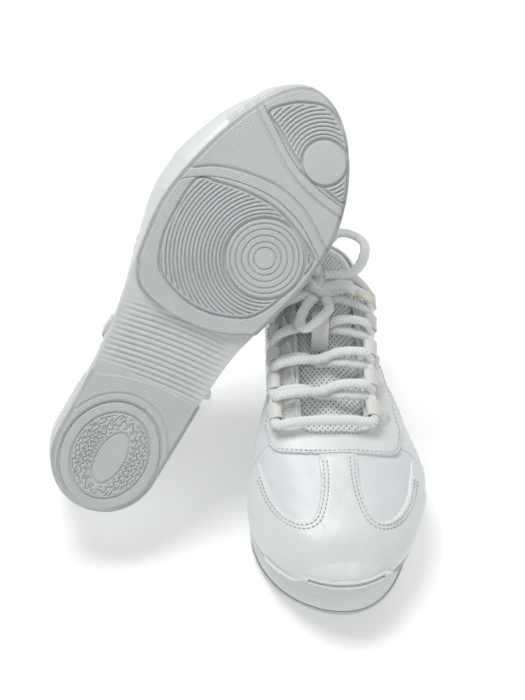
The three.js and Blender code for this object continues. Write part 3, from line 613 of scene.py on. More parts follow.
def lining_material():
    colour = (0.76, 0.77, 0.78)
    shader = Shader("knit_lining", colour, 0.9, Sheen_Weight=0.3, Sheen_Roughness=0.5)
    where = shader.place()
    weave = shader.math("MULTIPLY", shader.wave(900, where), shader.wave(900, where, "Y"))
    shader.tint(shader.noise(60, where), 0.3, 0.7, 0.93)
    shader.bump(weave, 0.2, 0.5)
    return shader.material


def mesh_material():
    colour = (0.87, 0.89, 0.90)
    shader = Shader("spacer_mesh", colour, 0.8, Sheen_Weight=0.2)
    uv = shader.rotated(shader.uv(), 45)
    holes = shader.voronoi(4.4, uv, randomness=0.1)
    fine = shader.noise(40, uv)
    # Painted shade: the mesh's holes are coloured near black for the shade inside them, in the same
    # places that the bump dents.
    shader.tint(holes, 0.14, 0.3, (0.16, 0.17, 0.175))
    shader.bump(holes, 0.8, 0.9)
    shader.bump(fine, 0.1, 0.4)
    return shader.material


def webbing_material():
    colour = (0.86, 0.865, 0.83)
    shader = Shader("satin_webbing", colour, 0.38, Sheen_Weight=0.25)
    uv = shader.uv()
    ribs = shader.wave(2.9, uv, distortion=0.3)
    threads = shader.noise(14, shader.rotated(uv, 0, (1, 8, 1)))
    # Painted shade: the webbing is darker in the grooves between its ribs, the same low bands that the
    # rib bump dents.
    shader.tint(ribs, 0.0, 0.5, 0.93)
    shader.bump(ribs, 0.22, 0.7)
    shader.bump(threads, 0.1, 0.35)
    return shader.material


def lace_material():
    colour = (0.87, 0.90, 0.89)
    shader = Shader("woven_lace", colour, 0.78, Sheen_Weight=0.35, Sheen_Roughness=0.4)
    uv = shader.uv()
    braid = shader.crossed("MAXIMUM", 1.7, uv, 35, (1, 1.3, 1), 0.6)
    # Painted shade: the lace is darker in the hollows between its braided strands, the same places that
    # the braid bump sinks.
    shader.tint(braid, 0.1, 0.6, 0.86)
    shader.bump(braid, 0.25, 0.6)
    shader.bump(shader.noise(9, uv, 4.0), 0.25, 0.4)
    return shader.material


def plain_material(name, colour, roughness):
    shader = Shader(name, colour, roughness)
    where = shader.place()
    shader.tint(shader.noise(80, where), 0.3, 0.7, 0.94)
    shader.bump(shader.noise(900, where), 0.1, 0.3)
    return shader.material


MATERIALS = {
    # Painted shade: the outsole is the same white rubber as the bumper, given a darker colour to stand
    # for the shade on the sole.
    "rubber": rubber_material("outsole_rubber_painted_shade", (0.665, 0.695, 0.70)),
    "bumper": rubber_material("bumper_rubber", (0.84, 0.855, 0.855)),
    "foam": foam_material(),
    "leather": leather_material("coated_leather", (0.84, 0.875, 0.89), 0.42, 1.0),
    "overlay": leather_material("smooth_overlay", (0.86, 0.895, 0.905), 0.36, 0.7),
    "lining": lining_material(),
    "mesh": mesh_material(),
    "webbing": webbing_material(),
    "lace": lace_material(),
    "board": plain_material("pressed_board", (0.62, 0.58, 0.50), 0.9),
    "plastic": plain_material("stiffener_plastic", (0.68, 0.70, 0.72), 0.5),
    "tip": plain_material("lace_tip", (0.74, 0.70, 0.58), 0.35),
    "thread": plain_material("sewing_thread", (0.50, 0.50, 0.46), 0.6),
}


def finish_piece(build, shoe, name, slot, nodes, material=None, body="shoe"):
    """Makes the piece, rides it on its body and hides the CAD nodes that it stands for."""
    piece = build.finish(shoe, name, MATERIALS[material or slot])
    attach(piece, f"{shoe}_{body}")
    if nodes:
        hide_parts(*[f"{shoe}_{node}" for node in nodes])
    return piece


# ---------------------------------------------------------------- lacing routes
EYESTAY_TOP = -GAP - OVERLAY_THICK
LOOP_GAP = 1.2
SLEEVE_OUTER = LACE_RADIUS + 1 + 0.9
SLEEVE_DEPTH = EYESTAY_TOP - LOOP_GAP - SLEEVE_OUTER
STACK = 2 * LACE_RADIUS + 0.5
UNDER = {"side": EYESTAY_TOP - LACE_RADIUS - LOOP_GAP - 3 * GAP, "half": -3.4, "middle": 0.7}
KNOT_Y = 97
KNOT_DEPTH = -6
LACE_HALF_WIDTH = 2.95
LACE_HALF_THICK = 2.0
LACE_STEP = 0.7


def row_y(row):
    return FIRST_ROW_Y - ROW_PITCH * row


def facing_point(y, side, x, depth):
    half = upper_half(y, side, 0.0, 0)
    q = math.sqrt(1 - min(abs(x) / half, 0.98) ** SECTION_POWER)
    return upper_point(y, side, q, depth)


def loop_x(y, side):
    return min(LOOP_X, 0.8 * upper_half(y, side, 0.0, 0))


def at_loop(y, side):
    return facing_point(y, side, loop_x(y, side), SLEEVE_DEPTH)


KNOT = facing_point(KNOT_Y, 1, 0, KNOT_DEPTH)


def crossing(row, side, on_top):
    lift = -STACK if on_top else 0
    y = (row_y(row) + row_y(row + 1)) / 2
    start = loop_x(y, side) - 2 * LACE_RADIUS
    end = loop_x(y, -side) - 2 * LACE_RADIUS
    return [facing_point(y + 2.4, side, start, UNDER["side"] + lift),
            facing_point(y + 1.9, side, start / 2, UNDER["half"] + lift * 0.85 - 0.5),
            facing_point(y, 1, 0, UNDER["middle"] + lift * 0.9),
            facing_point(y - 1.9, -side, end / 2, UNDER["half"] + lift * 0.85 - 0.5),
            facing_point(y - 2.4, -side, end, UNDER["side"] + lift)]


def strand_route(first_side):
    half = SLEEVE_LENGTH / 2
    bar_y = row_y(0) + half + 2 * LACE_RADIUS
    points = [facing_point(bar_y, -first_side, 3, SLEEVE_DEPTH),
              facing_point(bar_y, first_side, 12, SLEEVE_DEPTH),
              facing_point(bar_y, first_side, loop_x(bar_y, first_side) - 2 * LACE_RADIUS, SLEEVE_DEPTH)]
    for row in range(LACE_ROWS):
        side = first_side if row % 2 == 0 else -first_side
        points.append(at_loop(row_y(row) + half + LACE_RADIUS, side))
        points.append(at_loop(row_y(row) - half - LACE_RADIUS, side))
        if row < LACE_ROWS - 1:
            points += crossing(row, side, (row % 2 == 0) == (first_side > 0))
        else:
            points.append(facing_point(row_y(row) - half - LACE_RADIUS, side, 13, -3.6))
    points.append(KNOT)
    return np.array(points)


# Routes of the bow's loops and ends, in steps from the middle of the knot. The standing shoe's steps
# are to the inner side, ahead and up, and the leaning shoe's are to the right, back and up in the
# frame of the pair.
BOWS = {
    "left": {
        "bow_loop_a": [(-3, -8, 5), (-11, -7, 6), (-18, -11, 4), (-24, -20, 3), (-28, -32, 3),
                       (-28, -39, 5), (-24, -43, 7), (-17, -43, 10), (-11, -40, 11), (-4, -29, 10),
                       (1, -18, 9), (3, -8, 6.5)],
        "bow_loop_b": [(-2, 7.5, 0), (-3, 15, -1), (1, 22, -1.5), (6, 28, -1.5), (10.5, 31, -3),
                       (14, 28, -3), (13, 21, -1.5), (9, 13, 0), (5, 7.5, 0.5)],
        "lace_end_a": [(-9, 1, 4.5), (-14, 4, 6), (-19, 9, 5)],
        "lace_end_b": [(0, -8.5, -0.5), (1, -18, 1.5), (3, -28, 4), (4, -37, 5)],
    },
    "right": {
        "bow_loop_a": [(-5, 9, -3), (-14, 16, -18), (-22, 24, -34), (-26, 34, -45), (-14, 45, -47),
                       (-1, 45, -47), (6, 36, -43), (6, 24, -28), (1, 13, -8)],
        "bow_loop_b": [(6, 9, -3), (13, 14, -18), (18, 16, -34), (23, 14, -45), (28, 5, -47),
                       (26, -4, -43), (18, -1, -28), (9, 2, -12)],
        "lace_end_a": [(-3, 7, -9), (-7, 11, -20), (-9, 14, -32)],
        "lace_end_b": [(-8, 3, -6), (-16, 4, -16), (-20, 6, -30)],
    },
}
LACE_SIDES = 14
AGLET_LENGTH = 12
AGLET_LAP = 1.2  # how far the tip reaches back over the lace
AGLET_RADIUS = 1.8


# Where each end starts, on the far side of the knot that holds it.
KNOT_TUCK = [(8, -4, -2), (1, -1, 0)]


def bow_route(shoe, name):
    """Route of a loop or an end in the shoe frame."""
    tuck = [] if name.startswith("bow") else KNOT_TUCK
    steps = np.array([*tuck, *BOWS[shoe][name]], float)
    if shoe == "right":
        steps = steps @ PLACES[shoe][:3, :3]
    return KNOT + steps


def lace_profile(length):
    """Flat soft section with a little waviness along the lace."""
    base = ellipse(LACE_HALF_WIDTH, LACE_HALF_THICK, LACE_SIDES)
    wave = 1 + 0.05 * np.sin(length * 0.9) + 0.03 * np.sin(length * 2.3 + 1)
    ribs = 1 + 0.018 * np.sin(TAU * length / 1.3)
    scale = np.stack([wave * ribs, (2 - wave) * ribs], -1)
    return base[None] * scale[:, None]


def lace_sweep(build, route, normals):
    """Woven lace along a route, with its broad side facing the given direction at each point."""
    data = np.concatenate([route, np.broadcast_to(normals, route.shape)], 1)
    fine = resample(smooth_loop(data, step=1.0, closed=False), LACE_STEP)
    for _ in range(3):
        fine[1:-1] = (fine[:-2] + 2 * fine[1:-1] + fine[2:]) / 4
    path, normal = fine[:, :3], fine[:, 3:]
    length = lengths_along(path)
    sweep(build, path, lace_profile(length), normal)
    return path


def aglet(shoe, name, route):
    """Moulded tip on a lace end, with a rounded nose and a crimped ring at its root."""
    along = route[-1] - route[-2]
    along /= np.linalg.norm(along)
    start = route[-1] + along * (GAP - AGLET_LAP)
    share = np.array([0, 0.06, 0.1, 0.14, 0.3, 0.5, 0.7, 0.85, 0.93, 0.97, 1.0])
    radius = np.array([1.0, 1.12, 0.96, 1.1, 1.0, 0.97, 0.95, 0.92, 0.8, 0.6, 0.25]) * AGLET_RADIUS
    path = start + along * (share * (AGLET_LENGTH + AGLET_LAP))[:, None]
    profile = ellipse(1, 1, LACE_SIDES)[None] * radius[:, None, None]
    build = Build()
    up = np.array([0.1, 0.2, 1.0])
    sweep(build, path, profile, up)
    return finish_piece(build, shoe, name + "_tip", "tip", [name])


def make_bow(shoe):
    """The bow's two loops and two ends, each swept as a lace, with tips on the two ends."""
    for name in BOWS[shoe]:
        route = bow_route(shoe, name)
        middle = route.mean(0)
        normals = np.cross(np.gradient(route, axis=0), route - middle)
        normals = np.where(np.linalg.norm(normals, axis=1, keepdims=True) > 1e-6, normals, (0, 0, 1))
        normals /= np.linalg.norm(normals, axis=1, keepdims=True)
        if not name.startswith("bow"):
            normals = np.tile([0.2, 0.3, 1.0], (len(route), 1))
        build = Build()
        path = lace_sweep(build, route, normals)
        piece = finish_piece(build, shoe, name + "_lace", "lace", [name])
        tips = []
        if name.startswith("lace_end"):
            tips = [aglet(shoe, name.replace("lace_end", "aglet"), route)]


for side_name in ("left", "right"):
    make_bow(side_name)


# ---------------------------------------------------------------- upper
LEATHER_WOBBLE = 0.1


def wobble(a, b):
    """Slight unevenness of soft leather, in millimetres of depth."""
    return LEATHER_WOBBLE * (np.sin(a * 0.21 + b * 0.13) + np.sin(b * 0.17 - a * 0.11 + 2)
                             + 0.5 * np.sin(a * 0.43 + 1) * np.sin(b * 0.37))


def leaf(outer_depth, inner_depth, rim):
    """Depths of a leaf's two faces, with the edge of the outer face rounded."""
    def outer(edge, a, b):
        return inner_depth + (outer_depth - inner_depth) * round_edge(edge, rim) + wobble(a, b)

    def inner(edge, a, b):
        return np.full_like(edge, float(inner_depth)) + wobble(a, b)
    return outer, inner


def make_leaf(shoe, name, slot, nodes, surface, loop, faces, body="shoe"):
    """One piece made of a leaf of the skin, with the depths of its two faces."""
    build = Build()
    patch(build, surface, loop, *faces, turn=surface is heel_skin)
    return finish_piece(build, shoe, name, slot, nodes, body=body)


def groove(edge, at, width, deep):
    """Dent along a line at a distance from the edge."""
    return deep * np.exp(-((edge - at) / width) ** 2)


def plan_loop(half):
    """Loop of (s, v) places of a mirrored outline seen from above."""
    outline = [*half] + [(-x, y) for x, y in reversed(half) if x]
    return np.array([skin_at_x(x, y) for x, y in smooth_loop(outline, 2)])


def height_line(side, start, end, height, step=2):
    """Places (s, w) along a line of the heel wall whose height goes with y."""
    line = []
    for v in np.linspace(start, end, max(2, int(abs(end - start) / step))):
        way = np.linspace(0.5, GIRTH, 500)
        points = skin(way * side, v, 0)
        above = points[:, 2] - height(points[:, 1])
        line.append((float(np.interp(0, -above, way)), side * v))
    return line


def stitches(build, surface, places, spacing=2.6, length=1.9, depth=-0.35, radius=0.32):
    """Row of sewing stitches along a line of places."""
    line = resample(places, 0.4)
    points = surface(line[:, 0], line[:, 1], np.full(len(line), float(depth)))
    lifted = surface(line[:, 0], line[:, 1], np.full(len(line), float(depth) - 1))
    run = lengths_along(points)
    for start in np.arange(0, run[-1] - length, spacing):
        at = start + length * np.array([0, 0.12, 0.5, 0.88, 1])
        path = np.stack([np.interp(at, run, points[:, k]) for k in range(3)], -1)
        above = np.stack([np.interp(at, run, lifted[:, k]) for k in range(3)], -1)
        sizes = radius * np.array([0.35, 0.85, 1, 0.85, 0.35])
        drop = np.array([0.3, 0.08, 0, 0.08, 0.3])[:, None] * (path - above)
        sweep(build, path + drop, ellipse(1, 1, 6)[None] * sizes[:, None, None], above - path)


def inset_line(loop, distance):
    """Line inside a closed loop of places at a distance from it."""
    before, after = np.roll(loop, 1, axis=0), np.roll(loop, -1, axis=0)
    along = after - before
    along /= np.maximum(np.linalg.norm(along, axis=1, keepdims=True), 1e-9)
    area = np.sum(loop[:, 0] * after[:, 1] - after[:, 0] * loop[:, 1])
    inward = np.stack([-along[:, 1], along[:, 0]], -1) * (1 if area > 0 else -1)
    moved = loop + inward * distance
    _, gap = nearest_on_loop(moved, loop)
    return moved[gap > distance * 0.9]


def split_runs(line, keep, longest=6):
    """Unbroken runs of the places of a line that a test keeps."""
    runs, run = [], []
    for place in line:
        if run and np.linalg.norm(place - run[-1]) > longest:
            runs.append(run)
            run = []
        if keep(place):
            run.append(place)
        elif run:
            runs.append(run)
            run = []
    return [np.array(r) for r in runs + [run] if len(r) > 3]


TOE_CAP_HALF = [(62, 262), (62, 176), (45, 178), (41, 192), (37, 208), (30, 221), (22, 227.5),
                (15.5, 226), (12, 217), (10.5, 205), (10, 184), (0, 184)]
THROAT_HALF = [(0, 176.5), (11, 176), (16, 174), (18, 169), (18, 150), (18, 130), (18, 110),
               (18, 84)]
EYESTAY_OUTER = [(22, 80), (25, 100), (28.5, 116), (32.5, 133), (36, 153), (37.5, 168), (36.5, 178),
                 (31, 185.5), (17, 189.8), (0, 190.8)]


LAP = 5


def vamp_loop():
    """Vamp to the toe tip, lapped under the quarters beside the throat."""
    notch = [(THROAT_Y - LAP, 20), (THROAT_Y - 2, 17.5), (THROAT_Y, 11), (THROAT_Y + 0.5, 0)]
    edge = [skin_at_x(x, y) for y, x in notch] + [skin_at_x(-x, y) for y, x in notch[-2::-1]]
    return np.array([(GIRTH + 4, SOLE_LENGTH + 4), (GIRTH + 4, THROAT_Y - LAP), *edge,
                     (-GIRTH - 4, THROAT_Y - LAP), (-GIRTH - 4, SOLE_LENGTH + 4)], float)


def quarters_loop():
    """Both quarters in one loop round the heel, in (s, w)."""
    front = THROAT_Y + 1.5
    facing = [(4, front), (12, THROAT_Y), (16, 174), (18, 169), (18, 150), (18, 130), (18, 110),
              (18, 90)]
    right = [(GIRTH + 4, front)] + [skin_at_x(x, y) for x, y in facing]
    right += height_line(1, COLLAR_FRONT_Y, 0, collar_z)
    left = [(GIRTH + 4, -front)] + [(-s, -y) for s, y in (skin_at_x(-x, y) for x, y in facing)]
    left += height_line(-1, COLLAR_FRONT_Y, 0, collar_z)
    return np.array(right + left[::-1], float)


def make_base_leather(shoe):
    outer, inner = leaf(0, UPPER_THICK, 0.9)

    def lapped(edge, a, b):
        return outer(edge, a, b) + 0.5 * np.clip((THROAT_Y + 2.5 - b) / 2.5, 0, 1) ** 2
    make_leaf(shoe, "vamp_leather", "leather", ["vamp"], ridge_skin, vamp_loop(), (lapped, inner))

    def ribbed(edge, a, b):
        w = np.abs(b)
        shift = 0.35 * (a - 40)
        ribs = sum(np.exp(-((w - at - shift) / 1.1) ** 2) for at in (70, 75.5, 128, 133.5))
        fade = np.clip((a - 34) / 8, 0, 1) * np.clip((77 - a) / 5, 0, 1)
        return outer(edge, a, b) - 0.8 * ribs * fade + 0.9 * np.exp(-(w / 0.8) ** 2) * (edge > 0)
    make_leaf(shoe, "quarters_leather", "leather", ["quarter_medial", "quarter_lateral"],
              heel_skin, quarters_loop(), (ribbed, inner))


def make_overlays(shoe):
    outer, inner = leaf(-GAP - OVERLAY_THICK, 0.3, 1.1)
    cap_loop = plan_loop(TOE_CAP_HALF)
    cap_loop = cap_loop[cap_loop[:, 1] < SOLE_LENGTH + 1]

    def cap_outer(edge, a, b):
        seams = groove(edge, 2.2, 0.5, 0.25) + groove(edge, 4.4, 0.5, 0.25)
        return outer(edge, a, b) + seams + 0.8 * np.clip((192 - b) / 1.5, 0, 1)
    make_leaf(shoe, "toe_cap_overlay", "overlay", ["toe_cap"], ridge_skin, cap_loop,
              (cap_outer, inner))

    rows = [row_y(row) for row in range(LACE_ROWS)]
    scalloped = []
    for x, y in smooth_loop(EYESTAY_OUTER, 1.2, closed=False):
        bump = sum(math.exp(-((y - at) / 5.5) ** 2) for at in rows) if y < 172 else 0
        scalloped.append((x + 1.3 * bump, y))
    throat = [tuple(p) for p in smooth_loop(THROAT_HALF, 1.5, closed=False)]
    stay_loop = np.array(scalloped_ring(scalloped, throat))

    def stay_outer(edge, a, b):
        return outer(edge, a, b) + groove(edge, 2.0, 0.45, 0.22)
    make_leaf(shoe, "eyestay_overlay", "overlay", ["eyestay"], ridge_skin, stay_loop,
              (stay_outer, inner))

    counter_loop = counter_outline()

    def counter_outer(edge, a, b):
        return outer(edge, a, b) + groove(edge, 2.2, 0.5, 0.25)
    make_leaf(shoe, "heel_counter_overlay", "overlay", ["heel_counter"], heel_skin, counter_loop,
              (counter_outer, inner))

    thread = Build()
    above = -GAP - OVERLAY_THICK + 0.05
    seams = ((cap_loop, ridge_skin, (2.2, 4.4), (191.5, 240)),
             (stay_loop, ridge_skin, (2.0,), (0, 240)),
             (counter_loop, heel_skin, (2.2,), (-64, 64)))
    for loop, surface, rows, (rear, front) in seams:
        for distance in rows:
            line = inset_line(smooth_resample(loop), distance)
            for run in split_runs(line, lambda p: abs(p[0]) < GIRTH - 3 and rear < p[1] < front):
                stitches(thread, surface, run, depth=above)
    finish_piece(thread, shoe, "upper_stitches", None, [], material="thread")


def scalloped_ring(scalloped, throat):
    """Loop of the eyestay, out along its outer edge on one side, over the toe end and back, then
    along the throat."""
    medial = [skin_at_x(x, y) for x, y in scalloped]
    lateral = [skin_at_x(-x, y) for x, y in reversed(scalloped) if x]
    throat_lateral = [skin_at_x(-x, y) for x, y in reversed(throat) if x]
    throat_medial = [skin_at_x(x, y) for x, y in throat]
    return medial + lateral + throat_lateral + throat_medial


def smooth_resample(loop, step=1.0):
    """Closed loop with points at an even step."""
    return resample(np.vstack([loop, loop[:1]]), step)[:-1]


def counter_outline():
    """Loop of the heel counter in (s, w), from its two front ends up to a top line that falls towards
    the front.
    """
    def top(y):
        return 60 - 0.004 * y ** 2 - 0.2 * y

    right = height_line(1, 0, 64, top)
    left = height_line(-1, 64, 0, top)
    return np.array([(GIRTH + 4, -64), (GIRTH + 4, 64)] + right[::-1] + left[::-1], float)


BUMPER_THICK = 1.6
BUMPER_BACK = 222
BUMPER_LOW = 0.2
BUMPER_TAB = {"half": 21, "height": 7.5, "band": 2.4}
BUMPER_STEPS = 360


def toe_wrap(turn, height, depth):
    """Point of the skin round the toe: turn runs from -1 on the lateral side to 1 on the medial
    side, and height is above the feather line."""
    vs = np.linspace(BUMPER_BACK, SOLE_LENGTH, 600)
    rises = upper_rise(vs, 0)
    foremost = np.interp(-height, -rises, vs)
    side = np.where(turn < 0, -1, 1)
    v = BUMPER_BACK + (foremost - BUMPER_BACK) * np.cos(np.abs(turn) * np.pi / 2)
    q = np.clip(height / np.maximum(upper_rise(v, 0), 1e-6), 0, 1)
    return upper_point(v, side, q, depth)


def make_bumper(shoe):
    """Rubber band round the toe with a diamond knurl, and a tab with a slot in front."""
    turns = np.linspace(-1, 1, BUMPER_STEPS)
    reach = np.abs(toe_wrap(turns, np.full(BUMPER_STEPS, 3.0), 0.0)[:, 0])
    tab = 1 / (1 + np.exp((reach - BUMPER_TAB["half"] - 2) / 1.4))
    tall = BUMPER_TAB["band"] + (BUMPER_TAB["height"] - BUMPER_TAB["band"]) * tab
    ends = np.sqrt(np.clip((1 - np.abs(turns)) / 0.06, 0, 1))
    share = np.linspace(0, 1, 26)
    turn, rise = np.meshgrid(turns, share, indexing="ij")
    height = BUMPER_LOW + (tall - BUMPER_LOW)[:, None] * rise
    flat = toe_wrap(turn, height, 0.0)
    x, z = flat[..., 0], flat[..., 2]
    knurl = np.abs(np.sin((x + z * 1.3) * 2.0) * np.sin((x - z * 1.3) * 2.0))
    slot = (np.exp(-((height - BUMPER_TAB["height"] + 2.0) / 0.6) ** 4)
            * (np.abs(x) < BUMPER_TAB["half"] - 2))
    rounded = np.sqrt(np.clip((1 - rise) / 0.22, 0, 1)) * ends[:, None]
    thick = (GAP + OVERLAY_THICK + GAP + BUMPER_THICK) * rounded
    depth = -thick - 0.35 * knurl * rounded * (rise < 0.93) + 2.2 * slot
    outer = toe_wrap(turn, height, depth)
    inner = toe_wrap(turn[:, ::-1], height[:, ::-1], np.full(turn.shape, 0.3))
    rings = np.concatenate([outer, inner], 1)
    uv = np.stack([np.concatenate([turn, turn], 1) * 6, np.concatenate([height, height], 1) / 10], -1)
    build = Build()
    build.add(rings, [grid_faces(*rings.shape[:2], wrap=True)], uv)
    finish_piece(build, shoe, "toe_bumper_rubber", "rubber", ["toe_bumper"], material="bumper")


PAD_RISE = 1.4  # of its top over the topline
PAD_DROP = 26
PAD_REACH = 82


def make_collar(shoe):
    """Padded collar: a round roll along the topline, full in the middle of its height."""
    def top(y):
        return collar_z(y) + PAD_RISE

    def foot(y):
        return collar_z(y) - PAD_DROP

    loop = np.array(height_line(1, 0, PAD_REACH, top) + height_line(1, PAD_REACH, 0, foot)
                    + height_line(-1, 0, PAD_REACH, foot) + height_line(-1, PAD_REACH, 0, top), float)
    near = UPPER_THICK + GAP
    middle = near + COLLAR_PAD_THICK / 2

    def outer(edge, a, b):
        crown = round_edge(edge, 9)
        return middle - (middle - near + 0.2) * crown

    def inner(edge, a, b):
        crown = round_edge(edge, 10)
        pucker = 0.25 * np.sin(b * 0.9 + a * 0.2) * np.exp(-((edge - 5) / 3) ** 2)
        return middle + (COLLAR_PAD_THICK / 2) * crown + pucker
    piece = make_leaf(shoe, "collar_padding", "lining", ["collar_pad"], heel_skin, loop, (outer, inner))


TONGUE_HALF = [(25, 183), (25, 160), (24, 130), (22.5, 105), (20.5, 84), (17, 70), (11, 65.2),
               (0, 64.3)]
TONGUE_EDGE = 1.6  # from the sewn edge to the tongue's foot side


def make_tongue(shoe):
    """Padded mesh tongue, crowned between its sewn edges."""
    loop = plan_loop(TONGUE_HALF[::-1])
    near, far = TONGUE_DEPTH, TONGUE_DEPTH + TONGUE_THICK

    def outer(edge, s, v):
        crown = round_edge(edge, 7)
        seam = groove(edge, 3.4, 0.7, 0.5)
        waves = 0.25 * np.sin(v * 0.35) * np.cos(s * 0.12)
        return far - TONGUE_EDGE - (far - near - TONGUE_EDGE) * crown + seam + waves

    def inner(edge, s, v):
        return far - TONGUE_EDGE + TONGUE_EDGE * round_edge(edge, 4)
    piece = make_leaf(shoe, "tongue_padding", "mesh", ["tongue"], ridge_skin, loop, (outer, inner),
                      body="tongue")


KEEPER = {"reach": 10.5, "half_width": 4.8, "thick": 1.1}
KEEPER_SLACK = 3.8


def make_keeper(shoe):
    """Webbing bridge over the lace, with its two ends turned down to the tongue and sewn."""
    over = TONGUE_DEPTH - 4 * LACE_RADIUS - KEEPER_SLACK - KEEPER["thick"]
    ends = TONGUE_DEPTH - GAP - KEEPER["thick"]
    centre = (row_y(2) + row_y(3)) / 2
    t = np.linspace(0, 1, 60)
    depth = ends + (over - ends) * np.sin(np.pi * t) ** 0.6 + KEEPER["thick"] / 2
    ys = centre + KEEPER["reach"] * (2 * t - 1)
    path = np.array([facing_point(y, 1, 0, d) for y, d in zip(ys, depth)])
    out = np.array([facing_point(y, 1, 0, d - 5) for y, d in zip(ys, depth)]) - path
    u = np.linspace(-1, 1, 17)
    half, thick = KEEPER["half_width"], KEEPER["thick"] / 2
    rib = 0.12 * np.cos(u * half * TAU / 1.15)
    edge = np.sqrt(np.maximum(1 - np.abs(u) ** 10, 0))
    upper = np.stack([u * half, (thick + rib) * edge], -1)
    lower = np.stack([u[::-1] * half, -(thick + rib[::-1] * 0.5) * edge[::-1]], -1)
    profile = np.vstack([upper, lower[1:-1]])
    build = Build()
    sweep(build, path, profile[::-1], out)
    finish_piece(build, shoe, "keeper_webbing", "webbing", ["tongue_keeper"], body="tongue")


SLEEVE_RINGS = 24
SLEEVE_SIDES = 28


def make_loops(shoe, side, name):
    """Webbing sleeves of one side, each with a pleated tab that runs in under the eyestay."""
    build = Build()
    for row in range(LACE_ROWS):
        rear = at_loop(row_y(row) - SLEEVE_LENGTH / 2, side)
        front = at_loop(row_y(row) + SLEEVE_LENGTH / 2, side)
        t = np.linspace(0, 1, SLEEVE_RINGS)[:, None]
        path = rear + (front - rear) * t
        middle = facing_point(row_y(row), side, loop_x(row_y(row), side), 0)
        out = (rear + front) / 2 - middle
        outline, bore = (ellipse(*radii, SLEEVE_SIDES) for radii in ((4.1, 2.9), (3.3, 2.1)))
        rib = 1 + 0.03 * np.sin(t * SLEEVE_LENGTH * TAU / 1.1)
        flare = 1 + 0.06 * np.abs(2 * t - 1) ** 3
        sweep(build, path, outline[None] * (rib * flare)[..., None], out, caps=False)
        sweep(build, path, bore[::-1][None] * flare[..., None], out, caps=False)
        close_sleeve(build)
        tab(build, row, side)
    tape(build, side)
    finish_piece(build, shoe, name + "_webbing", "webbing", [name])


def close_sleeve(build):
    """Ring faces that join the outline and the bore of the last sleeve at its two ends."""
    rings, around = SLEEVE_RINGS, SLEEVE_SIDES
    outer = build.count - 2 * rings * around
    bore = build.count - rings * around
    j = np.arange(around)
    k = (j + 1) % around
    for ring, flip in ((0, False), (rings - 1, True)):
        a, b = outer + ring * around, bore + ring * around
        quads = np.stack([a + k, a + j, b + (around - 1 - j), b + (around - 1 - k)], -1)
        build.faces.append(quads[:, ::-1] if flip else quads)


def tab(build, row, side):
    """Pleated band from under the sleeve to the facing edge and outward under the overlay."""
    y = row_y(row)
    centre = abs(skin_at_x(side * loop_x(y, side), y)[0])
    steps = [(-3.4, -4.5), (-1.8, -3.1), (0.2, -2.4), (2.2, -2.5), (4.0, -2.5), (5.4, -2.1),
             (6.4, -1.3)]
    top = smooth_loop([(centre + step, depth) for step, depth in steps], 0.5, closed=False)
    path = skin(top[:, 0] * side, y, top[:, 1])
    out = skin(top[:, 0] * side, y, top[:, 1] - 4) - path
    u = np.linspace(-1, 1, 33)
    pleat = 0.22 * np.cos(u * 5.2 * TAU / 1.5)
    edge = np.sqrt(np.maximum(1 - np.abs(u) ** 12, 0))
    upper = np.stack([u * 4.9, (0.55 + pleat) * edge], -1)
    lower = np.stack([u[::-1] * 4.9, -0.5 * edge[::-1]], -1)
    sweep(build, path, np.vstack([upper, lower[1:-1]])[::-1], out)


def tape(build, side):
    """Tape along the facing that all the tabs of a side are sewn to."""
    ys = np.linspace(row_y(LACE_ROWS - 1) - 3, row_y(0) + 3, 60)
    depth = EYESTAY_TOP - 0.5
    path = np.array([facing_point(y, side, loop_x(y, side), depth) for y in ys])
    out = np.array([facing_point(y, side, loop_x(y, side), depth - 4) for y in ys]) - path
    sweep(build, path, ellipse(2.4, 0.6, 12), out)


def make_lacing(shoe):
    """Both strands of the lacing and the knot."""
    build = Build()
    for first_side in (1, -1):
        route = strand_route(first_side)
        out = np.zeros_like(route)
        for i, point in enumerate(route):
            y = np.clip(point[1], 80, 200)
            out[i] = point - facing_point(y, 1 if point[0] > 0 else -1, abs(point[0]) * 0.8, 8)
        lace_sweep(build, route, out / np.linalg.norm(out, axis=1, keepdims=True))
    knot_wraps(build)
    finish_piece(build, shoe, "lacing", "lace", ["lace"])


def knot_wraps(build):
    """Knot of the bow: three turns of the lace drawn round one another."""
    t = np.arange(90) / 90 * TAU
    turns = [
        (np.stack([5.4 * np.cos(t), 3.1 * np.sin(t), 2.6 * np.sin(t + 0.9)], -1), (0, 0, 0.4)),
        (np.stack([3.0 * np.cos(t), 4.3 * np.sin(t + 0.5), 2.9 * np.cos(t + 0.4)], -1), (-0.8, 0, 0.2)),
        (np.stack([2.2 * np.cos(t + 1), 1.8 * np.sin(t), 3.6 * np.sin(t + 2.2)], -1), (2.6, 0.3, 0)),
    ]
    for points, shift in turns:
        path = KNOT + points + np.array(shift)
        sweep(build, path, ellipse(2.2, 1.5, 12), points + 1e-3, closed=True)


for side_name in ("left", "right"):
    make_base_leather(side_name)
    make_overlays(side_name)
    make_bumper(side_name)
    make_collar(side_name)
    make_tongue(side_name)
    make_keeper(side_name)
    make_loops(side_name, 1, "lace_loops_medial")
    make_loops(side_name, -1, "lace_loops_lateral")
    make_lacing(side_name)


# ---------------------------------------------------------------- sole
OUTSOLE_INSET = 2.2  # of the ground face from the sole's edge


